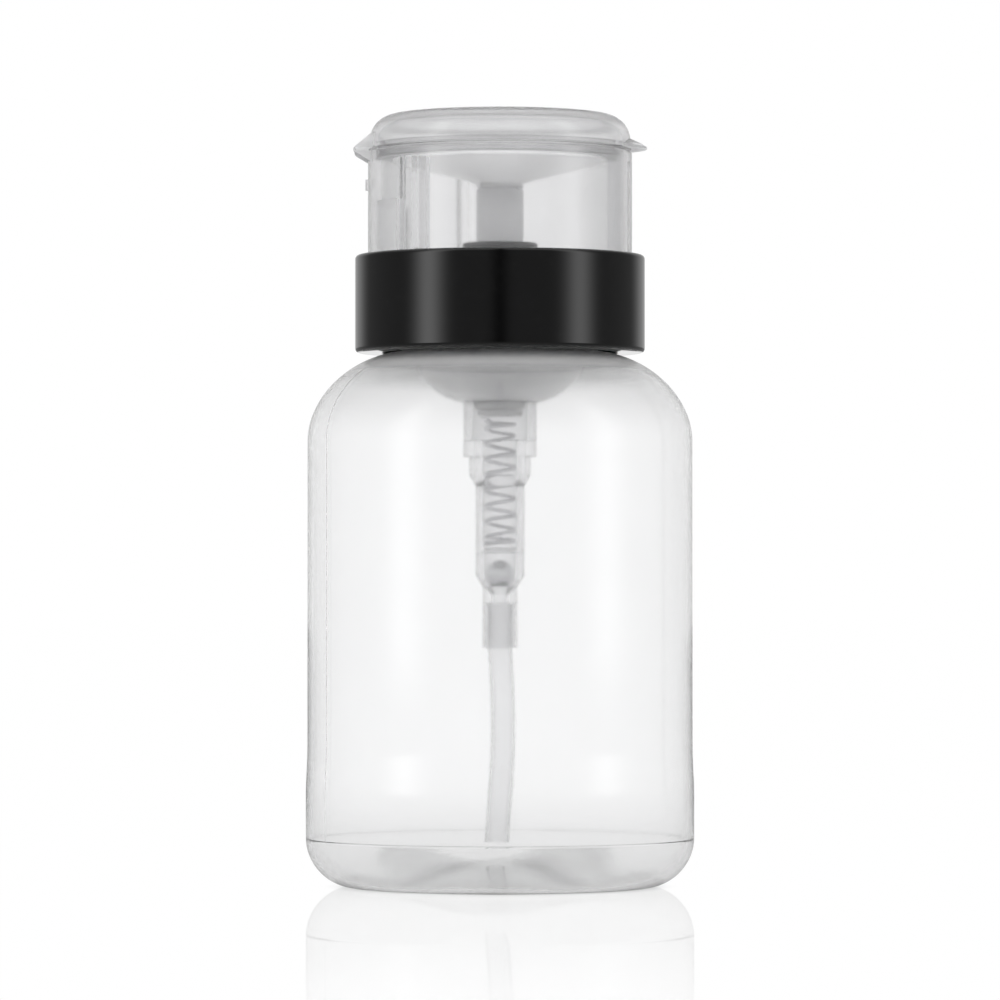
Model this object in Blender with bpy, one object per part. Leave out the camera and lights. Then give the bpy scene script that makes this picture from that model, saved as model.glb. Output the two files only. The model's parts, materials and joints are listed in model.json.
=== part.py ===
"""Press-dish pump bottle for nail polish remover.

A blow moulded bottle carries a screw cap with a glossy collar. A clear guard with a hinged lid stands
on the cap. Inside it, a dish on a hollow stem is pressed down with a cotton pad, and drives a spring
pump that hangs in the bottle. Units are metres, +Z is up, and the origin is the middle of the base.
"""

import math

import bmesh
import bpy
from mathutils import Matrix, Vector

# Fits
SEAT_GAP = 0.00025
RUN_GAP = 0.00025
PRESS_GAP = 0.00010
CUT_OVERRUN = 0.0010
WELD_DISTANCE = 0.0000005
EDGE_FILLET = 0.00030

# Bottle
BODY_RADIUS = 0.0300
FOOT_FLARE = 0.00025
FOOT_STRAIGHT = 0.0065
FOOT_TAPER = 0.0080
BASE_CORNER_RUN = 0.0072
BASE_CORNER_RISE = 0.0075
BASE_CORNER_POWER = 1.9
BASE_RING_WIDTH = 0.0012
PUSH_UP = 0.0030
SHOULDER_START = 0.0695
SHOULDER_RUN = 0.0160
SHOULDER_RISE = 0.0140
BOTTLE_WALL = 0.0009
NECK_RADIUS = 0.01525
NECK_WALL = 0.00185
NECK_HEIGHT = 0.00955
THREAD_DEPTH = 0.0012

# Plug that is pressed into the neck
PLUG_WALL = 0.0011
PLUG_FLANGE = 0.0009
PLUG_SKIRT = 0.0110
PLUG_BOWL_RISE = 0.0063

# Gasket on the plug
GASKET_THICKNESS = 0.0009
GASKET_WIDTH = 0.0036

# Screw cap
CAP_WALL = 0.00145
DECK_THICKNESS = 0.0014
SHELF_THICKNESS = 0.0014
CAP_SKIRT_CLEARANCE = 0.0007
CAP_RIB_COUNT = 16
CAP_RIB_THICKNESS = 0.0009

# Collar shell
SHELL_WALL = 0.0011
LIP_THICKNESS = 0.0011
COLLAR_CLEARANCE = 0.0012
COLLAR_TOP_FILLET = 0.0005
COLLAR_BOTTOM_FILLET = 0.0010

# Guard
GUARD_WALL = 0.0013
GUARD_HEIGHT = 0.0161
FOOT_INSET = 0.0009
FOOT_OVERHANG = 0.00065
FOOT_THICKNESS = 0.0012
GUIDE_DEPTH = 0.0023
GUIDE_THICKNESS = 0.0015
GUIDE_TOP_DROP = 0.0005
GUIDE_COUNT = 3
FIRST_GUIDE_TURN = math.radians(109)
PAD_DEPTH = 0.0008
PAD_HEIGHT = 0.0066
PAD_HALF_TURN = math.radians(38)
PAD_EDGE_DEPTH = 0.0010
PAD_EDGE_RISE = 0.0003
PAD_EDGE_THICKNESS = 0.0008
NIB_WIDTH = 0.0016
NIB_HEIGHT = 0.0016
NIB_REACH = 0.0004
NIB_DROP = 0.0043

# Hinge between the guard and the lid
HINGE_REACH = 0.0021
LOWER_WEB_HEIGHT = 0.0018
UPPER_WEB_HEIGHT = 0.0026
HINGE_WIDTH = 0.0110
HINGE_FILM = 0.00012

# Lid
PARTING_GAP = 0.0003
LID_INSET = 0.00025
LID_HEIGHT = 0.0058
LID_WALL = 0.0012
LID_ROOF = 0.0011
LID_CORNER = 0.0040
LID_CROWN = 0.0003
LID_RIM_HEIGHT = 0.0009
LID_PLUG_WALL = 0.0010
LID_PLUG_DROP = 0.0014
TAB_REACH = 0.0026
TAB_RADIUS = 0.0090
TAB_HEIGHT = 0.0024
TAB_GROOVE = 0.0003
TAB_GROOVE_HALF_TURN = math.radians(45)
TAB_LIP = 0.0004
TAB_TIP = 0.0005

# Pump housing
HOUSING_WALL = 0.001325
CHAMBER_BORE = 0.004375
CHAMBER_DEPTH = 0.0273
FLOOR_THICKNESS = 0.0025
STEP_WALL = 0.0010
STEP_LENGTH = 0.0028
STEP_TAPER = 0.00185
BARREL_BORE = 0.00275
BARREL_WALL = 0.00105
BARREL_LENGTH = 0.01035
BALL_BAY = 0.00345
BALL_LEDGE = 0.00025
SPIGOT_TAPER = 0.0018
SPIGOT_WALL = 0.00055
SPIGOT_LENGTH = 0.00955
SOCKET_DEPTH = 0.0070
INLET_BORE = 0.0011
SEAT_DEPTH = 0.0026
HEAD_BORE = 0.00515
HEAD_WALL = 0.00135
HEAD_DEPTH = 0.0053
HEAD_FLARE = 0.0020
HEAD_RISE = 0.0002
HOUSING_FLANGE = 0.0012
GUSSET_COUNT = 4
GUSSET_THICKNESS = 0.0010
GUSSET_HEIGHT = 0.0038
GUSSET_INSET = 0.0040
VENT_RADIUS = 0.0006
VENT_DROP = 0.0112

# Chaplet on the pump head
CHAPLET_RADIUS = 0.00585
CHAPLET_FLANGE = 0.00145
CHAPLET_PLUG = 0.0050

# Wiper under the chaplet
WIPER_HEIGHT = 0.0018
WIPER_LIP = 0.0004

# Stem and piston
STEM_RADIUS = 0.00365
STEM_BORE = 0.0011
SHOULDER_DROP = 0.00585
SPIGOT_RADIUS = 0.0026
SPIGOT_RISE = 0.0023
STROKE = 0.0036
PISTON_FLOOR_GAP = 0.0003
RETAINER_RADIUS = 0.0036
RETAINER_FLANGE = 0.0009
RETAINER_PLUG = 0.0019
RETAINER_BORE = 0.0009
RETAINER_LENGTH = 0.0056
SEAL_LENGTH = 0.0055
SEAL_LIP = 0.0010
SEAL_WAIST = 0.0004
SEAL_SLEEVE = 0.0028

# Outlet valve
OUTLET_BALL_RADIUS = 0.0015
OUTLET_CHAMBER = 0.00185
OUTLET_CHAMBER_DEPTH = 0.00405
OUTLET_SEAT_DEPTH = 0.0009
NOZZLE_HEAD_RADIUS = 0.0029
NOZZLE_HEAD = 0.00065
NOZZLE_DROP = 0.0023
NOZZLE_SLOT = 0.0008

# Dish
DISH_STUB = 0.0006
DISH_THICKNESS = 0.0011
DISH_RISE = 0.0034
DISH_POWER = 0.9
DISH_LIP_THICKNESS = 0.00045
NOZZLE_BOSS_RISE = 0.0009
BOSS_LEDGE = 0.0011

# Spring
WIRE_RADIUS = 0.00025
SPRING_RADIUS = 0.00228
SPRING_PITCH = 0.002434
SPRING_END_PITCH = 0.0011
SPRING_START_TURN = math.radians(200)

# Inlet valve
INLET_BALL_RADIUS = 0.00225
CAGE_THICKNESS = 0.0006
CAGE_BORE = 0.0015

# Dip tube
TUBE_RADIUS = 0.0019
TUBE_WALL = 0.0004
TUBE_FLOOR_GAP = 0.0030
TUBE_BEND = 0.00055

# Facets
OUTER_SIDES = 48
LARGE_SIDES = 36
MEDIUM_SIDES = 24
SMALL_SIDES = 18
TUBE_SIDES = 12
TUBE_STATIONS = 9
PAD_STEPS = 8
TAB_STEPS = 12
SNAP_STEPS = 3
BALL_SIDES = 14
BALL_RINGS = 8
CURL_POINTS = 9
CORNER_STEPS = 2
DOME_STEPS = 3
ARC_STEPS = 4
INNER_STEPS = 3
SHOULDER_STEPS = 6
SHARP_ANGLE = math.radians(32)

# Shares: each curve's bulge, 2 being a quarter circle or ellipse
SHOULDER_POWER = 1.9
BOWL_POWER = 1.6

# Shares: half of a snap bead against the pitch of the ribs, and how the dip tube sways
SNAP_SHARE = 0.25
SWAY_TURN_SHARE = 0.6
SWAY_LEAN_SHARE = 0.35

FULL_TURN = 2 * math.pi


def curve_share(share, power):
    """Height share of a superellipse quarter at a width share, both counted from its centre."""
    return (1 - min(max(share, 0), 1) ** power) ** (1 / power)


def shoulder_height(radius):
    """Height of the bottle's outer face over this radius, on the shoulder or the flat inside it."""
    share = (radius - (BODY_RADIUS - SHOULDER_RUN)) / SHOULDER_RUN
    return SHOULDER_START + SHOULDER_RISE * curve_share(share, SHOULDER_POWER)


# Levels and radii that follow from the sizes, from the neck upwards and outwards
NECK_BORE = NECK_RADIUS - NECK_WALL
NECK_ROOT = shoulder_height(NECK_RADIUS)
NECK_LAND = NECK_ROOT + NECK_HEIGHT
PLUG_TOP = NECK_LAND + SEAT_GAP + PLUG_FLANGE
GASKET_TOP = PLUG_TOP + SEAT_GAP + GASKET_THICKNESS
FLANGE_BOTTOM = GASKET_TOP + SEAT_GAP
FLANGE_TOP = FLANGE_BOTTOM + HOUSING_FLANGE
DECK_BOTTOM = FLANGE_TOP + SEAT_GAP
DECK_TOP = DECK_BOTTOM + DECK_THICKNESS
SKIRT_BORE = NECK_RADIUS + THREAD_DEPTH + RUN_GAP
SKIRT_RADIUS = SKIRT_BORE + CAP_WALL
GUARD_BORE = SKIRT_RADIUS + SEAT_GAP + FOOT_INSET
GUARD_RADIUS = GUARD_BORE + GUARD_WALL
FOOT_RADIUS = GUARD_RADIUS + FOOT_OVERHANG
SHELL_BORE = FOOT_RADIUS + SEAT_GAP
SHELL_RADIUS = SHELL_BORE + SHELL_WALL
LIP_BOTTOM = DECK_TOP - LIP_THICKNESS
FOOT_TOP = LIP_BOTTOM - SEAT_GAP
FOOT_BOTTOM = FOOT_TOP - FOOT_THICKNESS
SHELF_TOP = FOOT_BOTTOM - SEAT_GAP
SHELF_BOTTOM = SHELF_TOP - SHELF_THICKNESS
COLLAR_BOTTOM = shoulder_height(SHELL_BORE) + COLLAR_CLEARANCE
SKIRT_BOTTOM = shoulder_height(SKIRT_BORE) + CAP_SKIRT_CLEARANCE
GUARD_TOP = DECK_TOP + GUARD_HEIGHT
GUIDE_BORE = GUARD_BORE - GUIDE_DEPTH
LID_BASE = GUARD_TOP + PARTING_GAP
LID_PLUG_BOTTOM = LID_BASE - LID_PLUG_DROP
LID_TOP = LID_BASE + LID_HEIGHT
LID_RADIUS = GUARD_RADIUS - LID_INSET
HINGE_LEVEL = (GUARD_TOP + LID_BASE) / 2
HINGE_X = -(GUARD_RADIUS + HINGE_REACH)

# Levels and radii of the pump, from the flange upwards and downwards
HEAD_RADIUS = HEAD_BORE + HEAD_WALL
HEAD_TOP = DECK_TOP + HEAD_RISE
HEAD_BOTTOM = FLANGE_BOTTOM - HEAD_DEPTH
CHAMBER_RADIUS = CHAMBER_BORE + HOUSING_WALL
CHAMBER_FLOOR = FLANGE_TOP - CHAMBER_DEPTH
FLOOR_BOTTOM = CHAMBER_FLOOR - FLOOR_THICKNESS
BARREL_RADIUS = BARREL_BORE + BARREL_WALL
STEP_RADIUS = BARREL_RADIUS + STEP_WALL
STEP_BOTTOM = FLOOR_BOTTOM - STEP_LENGTH
BARREL_TOP = STEP_BOTTOM - STEP_TAPER
CAGE_SEAT = BARREL_TOP - BARREL_LENGTH
BALL_BORE = BARREL_BORE - BALL_LEDGE
BARREL_BOTTOM = CAGE_SEAT - BALL_BAY
SPIGOT_TOP = BARREL_BOTTOM - SPIGOT_TAPER
SPIGOT_BOTTOM = SPIGOT_TOP - SPIGOT_LENGTH
SOCKET_RADIUS = TUBE_RADIUS + SEAT_GAP
SPIGOT_OUTSIDE = SOCKET_RADIUS + SPIGOT_WALL
SOCKET_TOP = SPIGOT_BOTTOM + SOCKET_DEPTH
PLUG_HOLE = CHAMBER_RADIUS + SEAT_GAP
CHAPLET_BOTTOM = HEAD_TOP + SEAT_GAP
CHAPLET_TOP = CHAPLET_BOTTOM + CHAPLET_FLANGE
SHOULDER_TOP = GUARD_TOP - SHOULDER_DROP
DISH_BOTTOM = SHOULDER_TOP + SEAT_GAP
RETAINER_BOTTOM = CHAMBER_FLOOR + STROKE + PISTON_FLOOR_GAP
SEAL_BOTTOM = RETAINER_BOTTOM + RETAINER_FLANGE + SEAT_GAP
SEAL_TOP = SEAL_BOTTOM + SEAL_LENGTH
STEM_SHOULDER = SEAL_TOP + SEAT_GAP
CHAMBER_TOP = SHOULDER_TOP + SPIGOT_RISE
OUTLET_SEAT = CHAMBER_TOP - OUTLET_CHAMBER_DEPTH
BOSS_TOP = CHAMBER_TOP + SEAT_GAP + BOSS_LEDGE + NOZZLE_BOSS_RISE
CAGE_BOTTOM = CAGE_SEAT + SEAT_GAP
SPRING_BOTTOM = CAGE_BOTTOM + CAGE_THICKNESS + SEAT_GAP
SPRING_TOP = RETAINER_BOTTOM - SEAT_GAP
DISH_RADIUS = GUIDE_BORE - RUN_GAP


def quarter(start, end, power, steps):
    """Superellipse quarter from start to end. It leaves start along Z and reaches end along the radius."""
    points = []
    for step in range(steps + 1):
        angle = step / steps * math.pi / 2
        across = math.cos(angle) ** (2 / power)
        along = math.sin(angle) ** (2 / power)
        points.append((end[0] + (start[0] - end[0]) * across, start[1] + (end[1] - start[1]) * along))
    return points


def offset(points, distance):
    """The open line moved to its left by this distance."""
    moved = []
    for index, point in enumerate(points):
        before = Vector(points[max(index - 1, 0)])
        after = Vector(points[min(index + 1, len(points) - 1)])
        along = (after - before).normalized()
        moved.append((point[0] - along.y * distance, point[1] + along.x * distance))
    return moved


def rounded(outline, closed=True):
    """The outline with an arc at each corner that states a fillet as its third value."""
    points = []
    count = len(outline)
    for index, corner in enumerate(outline):
        here = Vector(corner[:2])
        end_point = not closed and index in (0, count - 1)
        if len(corner) < 3 or end_point:
            points.append(tuple(here))
            continue
        to_last = Vector(outline[index - 1][:2]) - here
        to_next = Vector(outline[(index + 1) % count][:2]) - here
        half = to_last.angle(to_next) / 2
        reach = min(corner[2] / math.tan(half), to_last.length / 3, to_next.length / 3)
        start = here + to_last.normalized() * reach
        end = here + to_next.normalized() * reach
        middle = (to_last.normalized() + to_next.normalized()).normalized()
        centre = here + middle * (reach / math.cos(half))
        for step in range(CORNER_STEPS + 1):
            share = step / CORNER_STEPS
            arm = (start - centre).lerp(end - centre, share).normalized()
            points.append(tuple(centre + arm * (reach * math.tan(half))))
    return points


def mesh_object(name, mesh, material, helper=False):
    """A named object for the mesh. A helper only cuts or joins another piece."""
    thing = bpy.data.objects.new(name, mesh)
    bpy.context.scene.collection.objects.link(thing)
    if helper:
        thing.hide_render = True
        thing.display_type = "WIRE"
    if material:
        mesh.materials.append(material)
    mesh.shade_smooth()
    mesh.set_sharp_from_angle(angle=SHARP_ANGLE)
    return thing


def finish(name, shape, material, helper=False):
    """Welds the shape, turns its faces outwards and makes the object."""
    bmesh.ops.remove_doubles(shape, verts=shape.verts, dist=WELD_DISTANCE)
    bmesh.ops.recalc_face_normals(shape, faces=shape.faces)
    mesh = bpy.data.meshes.new(name)
    shape.to_mesh(mesh)
    shape.free()
    return mesh_object(name, mesh, material, helper)


def turned(name, outline, sides, material, closed=True, helper=False):
    """A piece turned about Z from an outline of (radius, height) points."""
    shape = bmesh.new()
    ring = [shape.verts.new((radius, 0, height)) for radius, height in outline]
    pairs = list(zip(ring, ring[1:]))
    if closed:
        pairs.append((ring[-1], ring[0]))
    edges = [shape.edges.new(pair) for pair in pairs]
    bmesh.ops.spin(
        shape,
        geom=ring + edges,
        cent=(0, 0, 0),
        axis=(0, 0, 1),
        angle=FULL_TURN,
        steps=sides,
        use_merge=True,
    )
    return finish(name, shape, material, helper)


def lofted(name, rings, material, closed=False, helper=False):
    """A skin over equal closed rings of points, capped at both ends or closed on itself."""
    shape = bmesh.new()
    loops = [[shape.verts.new(point) for point in ring] for ring in rings]
    pairs = list(zip(loops, loops[1:]))
    if closed:
        pairs.append((loops[-1], loops[0]))
    for low, high in pairs:
        for index in range(len(low)):
            after = (index + 1) % len(low)
            shape.faces.new((low[index], low[after], high[after], high[index]))
    if not closed:
        shape.faces.new(loops[0])
        shape.faces.new(reversed(loops[-1]))
    return finish(name, shape, material, helper)


def blocks(name, boxes):
    """A helper of boxes, each given by its low and high corners and a turn about Z."""
    shape = bmesh.new()
    for low, high, turn in boxes:
        size = Vector(high) - Vector(low)
        middle = (Vector(high) + Vector(low)) / 2
        place = Matrix.Rotation(turn, 4, "Z") @ Matrix.Translation(middle) @ Matrix.Diagonal((*size, 1))
        bmesh.ops.create_cube(shape, size=1, matrix=place)
    return finish(name, shape, None, helper=True)


def disc(name, radius, low, high, sides=OUTER_SIDES, centre=(0, 0), top_radius=None):
    """A helper drum, or a cone where it has a top radius."""
    rings = []
    for ring_radius, height in ((radius, low), (top_radius or radius, high)):
        rings.append(
            [
                (
                    centre[0] + ring_radius * math.cos(FULL_TURN * side / sides),
                    centre[1] + ring_radius * math.sin(FULL_TURN * side / sides),
                    height,
                )
                for side in range(sides)
            ]
        )
    return lofted(name, rings, None, helper=True)


def sector(name, outline, start, end, steps):
    """A helper turned about Z from one azimuth to another."""
    rings = []
    for step in range(steps + 1):
        turn = start + (end - start) * step / steps
        rings.append([(r * math.cos(turn), r * math.sin(turn), z) for r, z in outline])
    return lofted(name, rings, None, helper=True)


def prism(name, outline, width):
    """A helper with this (x, z) outline, as wide as given along Y and centred on it."""
    rings = [[(x, side * width / 2, z) for x, z in outline] for side in (-1, 1)]
    return lofted(name, rings, None, helper=True)


def combine(piece, helper, operation):
    modifier = piece.modifiers.new(helper.name, "BOOLEAN")
    modifier.operation = operation
    modifier.solver = "EXACT"
    modifier.object = helper


def new_material(name, colour, roughness, clear=0.0):
    """A moulded plastic, or a metal where the name says steel. Clear is how much light it lets through."""
    made = bpy.data.materials.new(name)
    made.use_nodes = True
    shader = made.node_tree.nodes["Principled BSDF"]
    shader.inputs["Base Color"].default_value = (*colour, 1)
    shader.inputs["Roughness"].default_value = roughness
    shader.inputs["Metallic"].default_value = 1.0 if "steel" in name else 0.0
    shader.inputs["Transmission Weight"].default_value = clear
    made.diffuse_color = (*colour, 1)
    return made


def make_bottle(material):
    foot = BODY_RADIUS + FOOT_FLARE
    ring_outside = foot - BASE_CORNER_RUN
    ring_inside = ring_outside - BASE_RING_WIDTH
    outside = []
    for step in range(DOME_STEPS + 1):
        share = step / DOME_STEPS
        outside.append((ring_inside * share, PUSH_UP * (1 - share**2)))
    corner = quarter((foot, BASE_CORNER_RISE), (ring_outside, 0), BASE_CORNER_POWER, ARC_STEPS)
    outside += corner[::-1]
    outside.append((foot, BASE_CORNER_RISE + FOOT_STRAIGHT))
    outside.append((BODY_RADIUS, BASE_CORNER_RISE + FOOT_STRAIGHT + FOOT_TAPER))
    shoulder_centre = BODY_RADIUS - SHOULDER_RUN
    shoulder = quarter(
        (BODY_RADIUS, SHOULDER_START),
        (shoulder_centre, SHOULDER_START + SHOULDER_RISE),
        SHOULDER_POWER,
        SHOULDER_STEPS,
    )
    outside += [point for point in shoulder if point[0] > NECK_RADIUS + NECK_WALL]
    inside = offset(outside, BOTTLE_WALL)
    inside[0] = (0, PUSH_UP + BOTTLE_WALL)
    neck = [
        (NECK_RADIUS, NECK_ROOT, EDGE_FILLET),
        (NECK_RADIUS, NECK_LAND, EDGE_FILLET),
        (NECK_BORE, NECK_LAND, EDGE_FILLET),
        (NECK_BORE, NECK_ROOT - BOTTLE_WALL / 2),
    ]
    outline = rounded(outside + neck + inside[::-1], closed=False)
    return turned("bottle", outline, OUTER_SIDES, material, closed=False)


def make_neck_plug(material):
    skirt = NECK_BORE - SEAT_GAP
    bowl_top = NECK_LAND - PLUG_SKIRT
    bowl_bottom = bowl_top - PLUG_BOWL_RISE
    outside = [(skirt, NECK_LAND + SEAT_GAP)]
    outside += quarter((skirt, bowl_top), (PLUG_HOLE, bowl_bottom), BOWL_POWER, ARC_STEPS)
    inside = offset(outside, -PLUG_WALL)
    inside[0] = (skirt - PLUG_WALL, PLUG_TOP)
    inside[-1] = (PLUG_HOLE, bowl_bottom + PLUG_WALL)
    flange = [(NECK_RADIUS, PLUG_TOP), (NECK_RADIUS, NECK_LAND + SEAT_GAP)]
    outline = outside[::-1] + flange[::-1] + inside
    return turned("neck_plug", outline, LARGE_SIDES, material)


def make_neck_gasket(material):
    inner = NECK_RADIUS - GASKET_WIDTH
    low = PLUG_TOP + SEAT_GAP
    outline = [(inner, low), (NECK_RADIUS, low), (NECK_RADIUS, GASKET_TOP), (inner, GASKET_TOP)]
    return turned("neck_gasket", outline, LARGE_SIDES, material)


def make_screw_cap(material):
    hole = HEAD_RADIUS + RUN_GAP
    outline = rounded(
        [
            (SKIRT_BORE, SKIRT_BOTTOM),
            (SKIRT_RADIUS, SKIRT_BOTTOM),
            (SKIRT_RADIUS, SHELF_BOTTOM),
            (FOOT_RADIUS, SHELF_BOTTOM),
            (FOOT_RADIUS, SHELF_TOP),
            (SKIRT_RADIUS, SHELF_TOP),
            (SKIRT_RADIUS, DECK_TOP, EDGE_FILLET),
            (hole, DECK_TOP, EDGE_FILLET),
            (hole, DECK_BOTTOM),
            (SKIRT_BORE, DECK_BOTTOM),
        ]
    )
    cap = turned("screw_cap", outline, LARGE_SIDES, material)
    low = (SKIRT_RADIUS - CAP_WALL / 2, -CAP_RIB_THICKNESS / 2, SKIRT_BOTTOM + CAP_WALL)
    high = (FOOT_RADIUS - RUN_GAP, CAP_RIB_THICKNESS / 2, SHELF_TOP - SHELF_THICKNESS / 2)
    ribs = [(low, high, FULL_TURN * (index + 0.5) / CAP_RIB_COUNT) for index in range(CAP_RIB_COUNT)]
    combine(cap, blocks("screw_cap_ribs", ribs), "UNION")
    return cap


def make_collar_shell(material):
    lip = GUARD_RADIUS + SEAT_GAP
    bead_top = SHELF_BOTTOM - SEAT_GAP
    bead_reach = SEAT_GAP + FOOT_OVERHANG / 2
    outline = rounded(
        [
            (SHELL_BORE, COLLAR_BOTTOM),
            (SHELL_RADIUS, COLLAR_BOTTOM, COLLAR_BOTTOM_FILLET),
            (SHELL_RADIUS, DECK_TOP, COLLAR_TOP_FILLET),
            (lip, DECK_TOP, EDGE_FILLET),
            (lip, LIP_BOTTOM),
            (SHELL_BORE, LIP_BOTTOM),
        ]
    )
    shell = turned("collar_shell", outline, OUTER_SIDES, material)
    bead = [
        (SHELL_BORE + SHELL_WALL / 2, bead_top),
        (SHELL_BORE - bead_reach, bead_top - bead_reach),
        (SHELL_BORE + SHELL_WALL / 2, bead_top - bead_reach * 3),
    ]
    for index in range(0, CAP_RIB_COUNT, 4):
        middle = FULL_TURN * index / CAP_RIB_COUNT
        half = FULL_TURN * SNAP_SHARE / CAP_RIB_COUNT
        helper = sector(f"collar_snap_{index}", bead, middle - half, middle + half, SNAP_STEPS)
        combine(shell, helper, "UNION")
    return shell


def make_guard(material):
    foot_inside = SKIRT_RADIUS + SEAT_GAP
    outline = rounded(
        [
            (foot_inside, FOOT_BOTTOM),
            (FOOT_RADIUS, FOOT_BOTTOM),
            (FOOT_RADIUS, FOOT_TOP),
            (GUARD_RADIUS, FOOT_TOP),
            (GUARD_RADIUS, GUARD_TOP, EDGE_FILLET),
            (GUARD_BORE, GUARD_TOP, EDGE_FILLET),
            (GUARD_BORE, FOOT_TOP),
            (foot_inside, FOOT_TOP),
        ]
    )
    guard = turned("guard", outline, OUTER_SIDES, material)
    in_wall = GUARD_BORE + GUARD_WALL / 2
    low = DECK_TOP + SEAT_GAP

    guides = []
    for index in range(GUIDE_COUNT):
        turn = FIRST_GUIDE_TURN + FULL_TURN * index / GUIDE_COUNT
        corner = (GUIDE_BORE, -GUIDE_THICKNESS / 2, low)
        far = (in_wall, GUIDE_THICKNESS / 2, LID_PLUG_BOTTOM - GUIDE_TOP_DROP)
        guides.append((corner, far, turn))
    combine(guard, blocks("guard_guides", guides), "UNION")

    pad_top = LID_PLUG_BOTTOM - RUN_GAP
    pad = [
        (GUARD_BORE - PAD_DEPTH, pad_top - PAD_HEIGHT),
        (in_wall, pad_top - PAD_HEIGHT),
        (in_wall, pad_top - PAD_EDGE_RISE),
        (GUARD_BORE - PAD_DEPTH, pad_top - PAD_EDGE_RISE),
    ]
    pad_start = math.pi - PAD_HALF_TURN
    combine(guard, sector("guard_pad", pad, pad_start, math.pi + PAD_HALF_TURN, PAD_STEPS), "UNION")
    edges = []
    for side in (-1, 1):
        corner = (GUARD_BORE - PAD_EDGE_DEPTH, -PAD_EDGE_THICKNESS / 2, low)
        far = (in_wall, PAD_EDGE_THICKNESS / 2, pad_top)
        edges.append((corner, far, math.pi + side * PAD_HALF_TURN))
    combine(guard, blocks("guard_pad_edges", edges), "UNION")

    web = [
        (-GUARD_BORE / 2, GUARD_TOP - HINGE_FILM),
        (HINGE_X + HINGE_FILM, GUARD_TOP - HINGE_FILM),
        (HINGE_X + HINGE_FILM, GUARD_TOP - HINGE_FILM * 2),
        (-in_wall, GUARD_TOP - LOWER_WEB_HEIGHT),
        (-GUARD_BORE / 2, GUARD_TOP - LOWER_WEB_HEIGHT),
    ]
    lower_web = prism("guard_hinge_web", web, HINGE_WIDTH)
    combine(lower_web, disc("guard_hinge_trim", in_wall, pad_top - PAD_HEIGHT, LID_TOP), "DIFFERENCE")
    combine(guard, lower_web, "UNION")

    nib_top = GUARD_TOP - NIB_DROP
    nib_low = (-GUARD_RADIUS - NIB_REACH, -NIB_WIDTH / 2, nib_top - NIB_HEIGHT)
    nib_high = (-in_wall, NIB_WIDTH / 2, nib_top)
    combine(guard, blocks("guard_nib", [(nib_low, nib_high, 0)]), "UNION")
    return guard


def make_lid(material):
    plug_outside = GUARD_BORE - SEAT_GAP
    plug_inside = plug_outside - LID_PLUG_WALL
    wall_top = LID_TOP - LID_CROWN - LID_CORNER
    corner = quarter((LID_RADIUS, wall_top), (LID_RADIUS - LID_CORNER, LID_TOP - LID_CROWN), 2, ARC_STEPS)
    inner_corner = quarter(
        (LID_RADIUS - LID_WALL, wall_top),
        (LID_RADIUS - LID_CORNER, LID_TOP - LID_CROWN - LID_ROOF),
        2,
        INNER_STEPS,
    )
    outline = [
        (0, LID_TOP),
        ((LID_RADIUS - LID_CORNER) / 2, LID_TOP - LID_CROWN / 4),
        *corner[::-1],
        (LID_RADIUS, LID_BASE, EDGE_FILLET),
        (plug_outside, LID_BASE),
        (plug_outside, LID_PLUG_BOTTOM, EDGE_FILLET),
        (plug_inside, LID_PLUG_BOTTOM, EDGE_FILLET),
        (plug_inside, LID_BASE + LID_RIM_HEIGHT),
        (LID_RADIUS - LID_WALL, LID_BASE + LID_RIM_HEIGHT),
        *inner_corner,
        (0, LID_TOP - LID_CROWN - LID_ROOF),
    ]
    lid = turned("lid", rounded(outline, closed=False), OUTER_SIDES, material, closed=False)
    in_wall = LID_RADIUS - LID_WALL / 2

    tab_centre = LID_RADIUS + TAB_REACH - TAB_RADIUS
    low = LID_BASE + SEAT_GAP / 2
    top_radius = LID_RADIUS - tab_centre
    tip = disc("lid_tab_tip", TAB_RADIUS, low, low + TAB_TIP, centre=(tab_centre, 0))
    tab_low = low + TAB_TIP / 2
    tab = disc(
        "lid_tab", TAB_RADIUS, tab_low, low + TAB_HEIGHT, centre=(tab_centre, 0), top_radius=top_radius
    )
    combine(tab, tip, "UNION")
    combine(tab, disc("lid_tab_trim", in_wall, LID_BASE - CUT_OVERRUN, LID_TOP), "DIFFERENCE")
    groove_low = low + TAB_LIP
    groove_inside = LID_RADIUS + TAB_REACH / 4
    groove = [
        (groove_inside, groove_low),
        (LID_RADIUS + TAB_REACH - TAB_LIP, groove_low),
        (LID_RADIUS + TAB_REACH - TAB_LIP, groove_low + TAB_GROOVE),
        (groove_inside, groove_low + TAB_GROOVE),
    ]
    half = TAB_GROOVE_HALF_TURN
    combine(tab, sector("lid_tab_groove", groove, -half, half, TAB_STEPS), "DIFFERENCE")
    combine(lid, tab, "UNION")

    web = [
        (-GUARD_BORE / 2, LID_BASE + HINGE_FILM),
        (HINGE_X + HINGE_FILM, LID_BASE + HINGE_FILM),
        (HINGE_X + HINGE_FILM, LID_BASE + HINGE_FILM * 2),
        (-in_wall, LID_BASE + UPPER_WEB_HEIGHT),
        (-GUARD_BORE / 2, LID_BASE + UPPER_WEB_HEIGHT),
    ]
    upper_web = prism("lid_hinge_web", web, HINGE_WIDTH)
    combine(upper_web, disc("lid_hinge_trim", in_wall, LID_BASE - CUT_OVERRUN, LID_TOP), "DIFFERENCE")
    combine(lid, upper_web, "UNION")
    return lid


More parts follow.
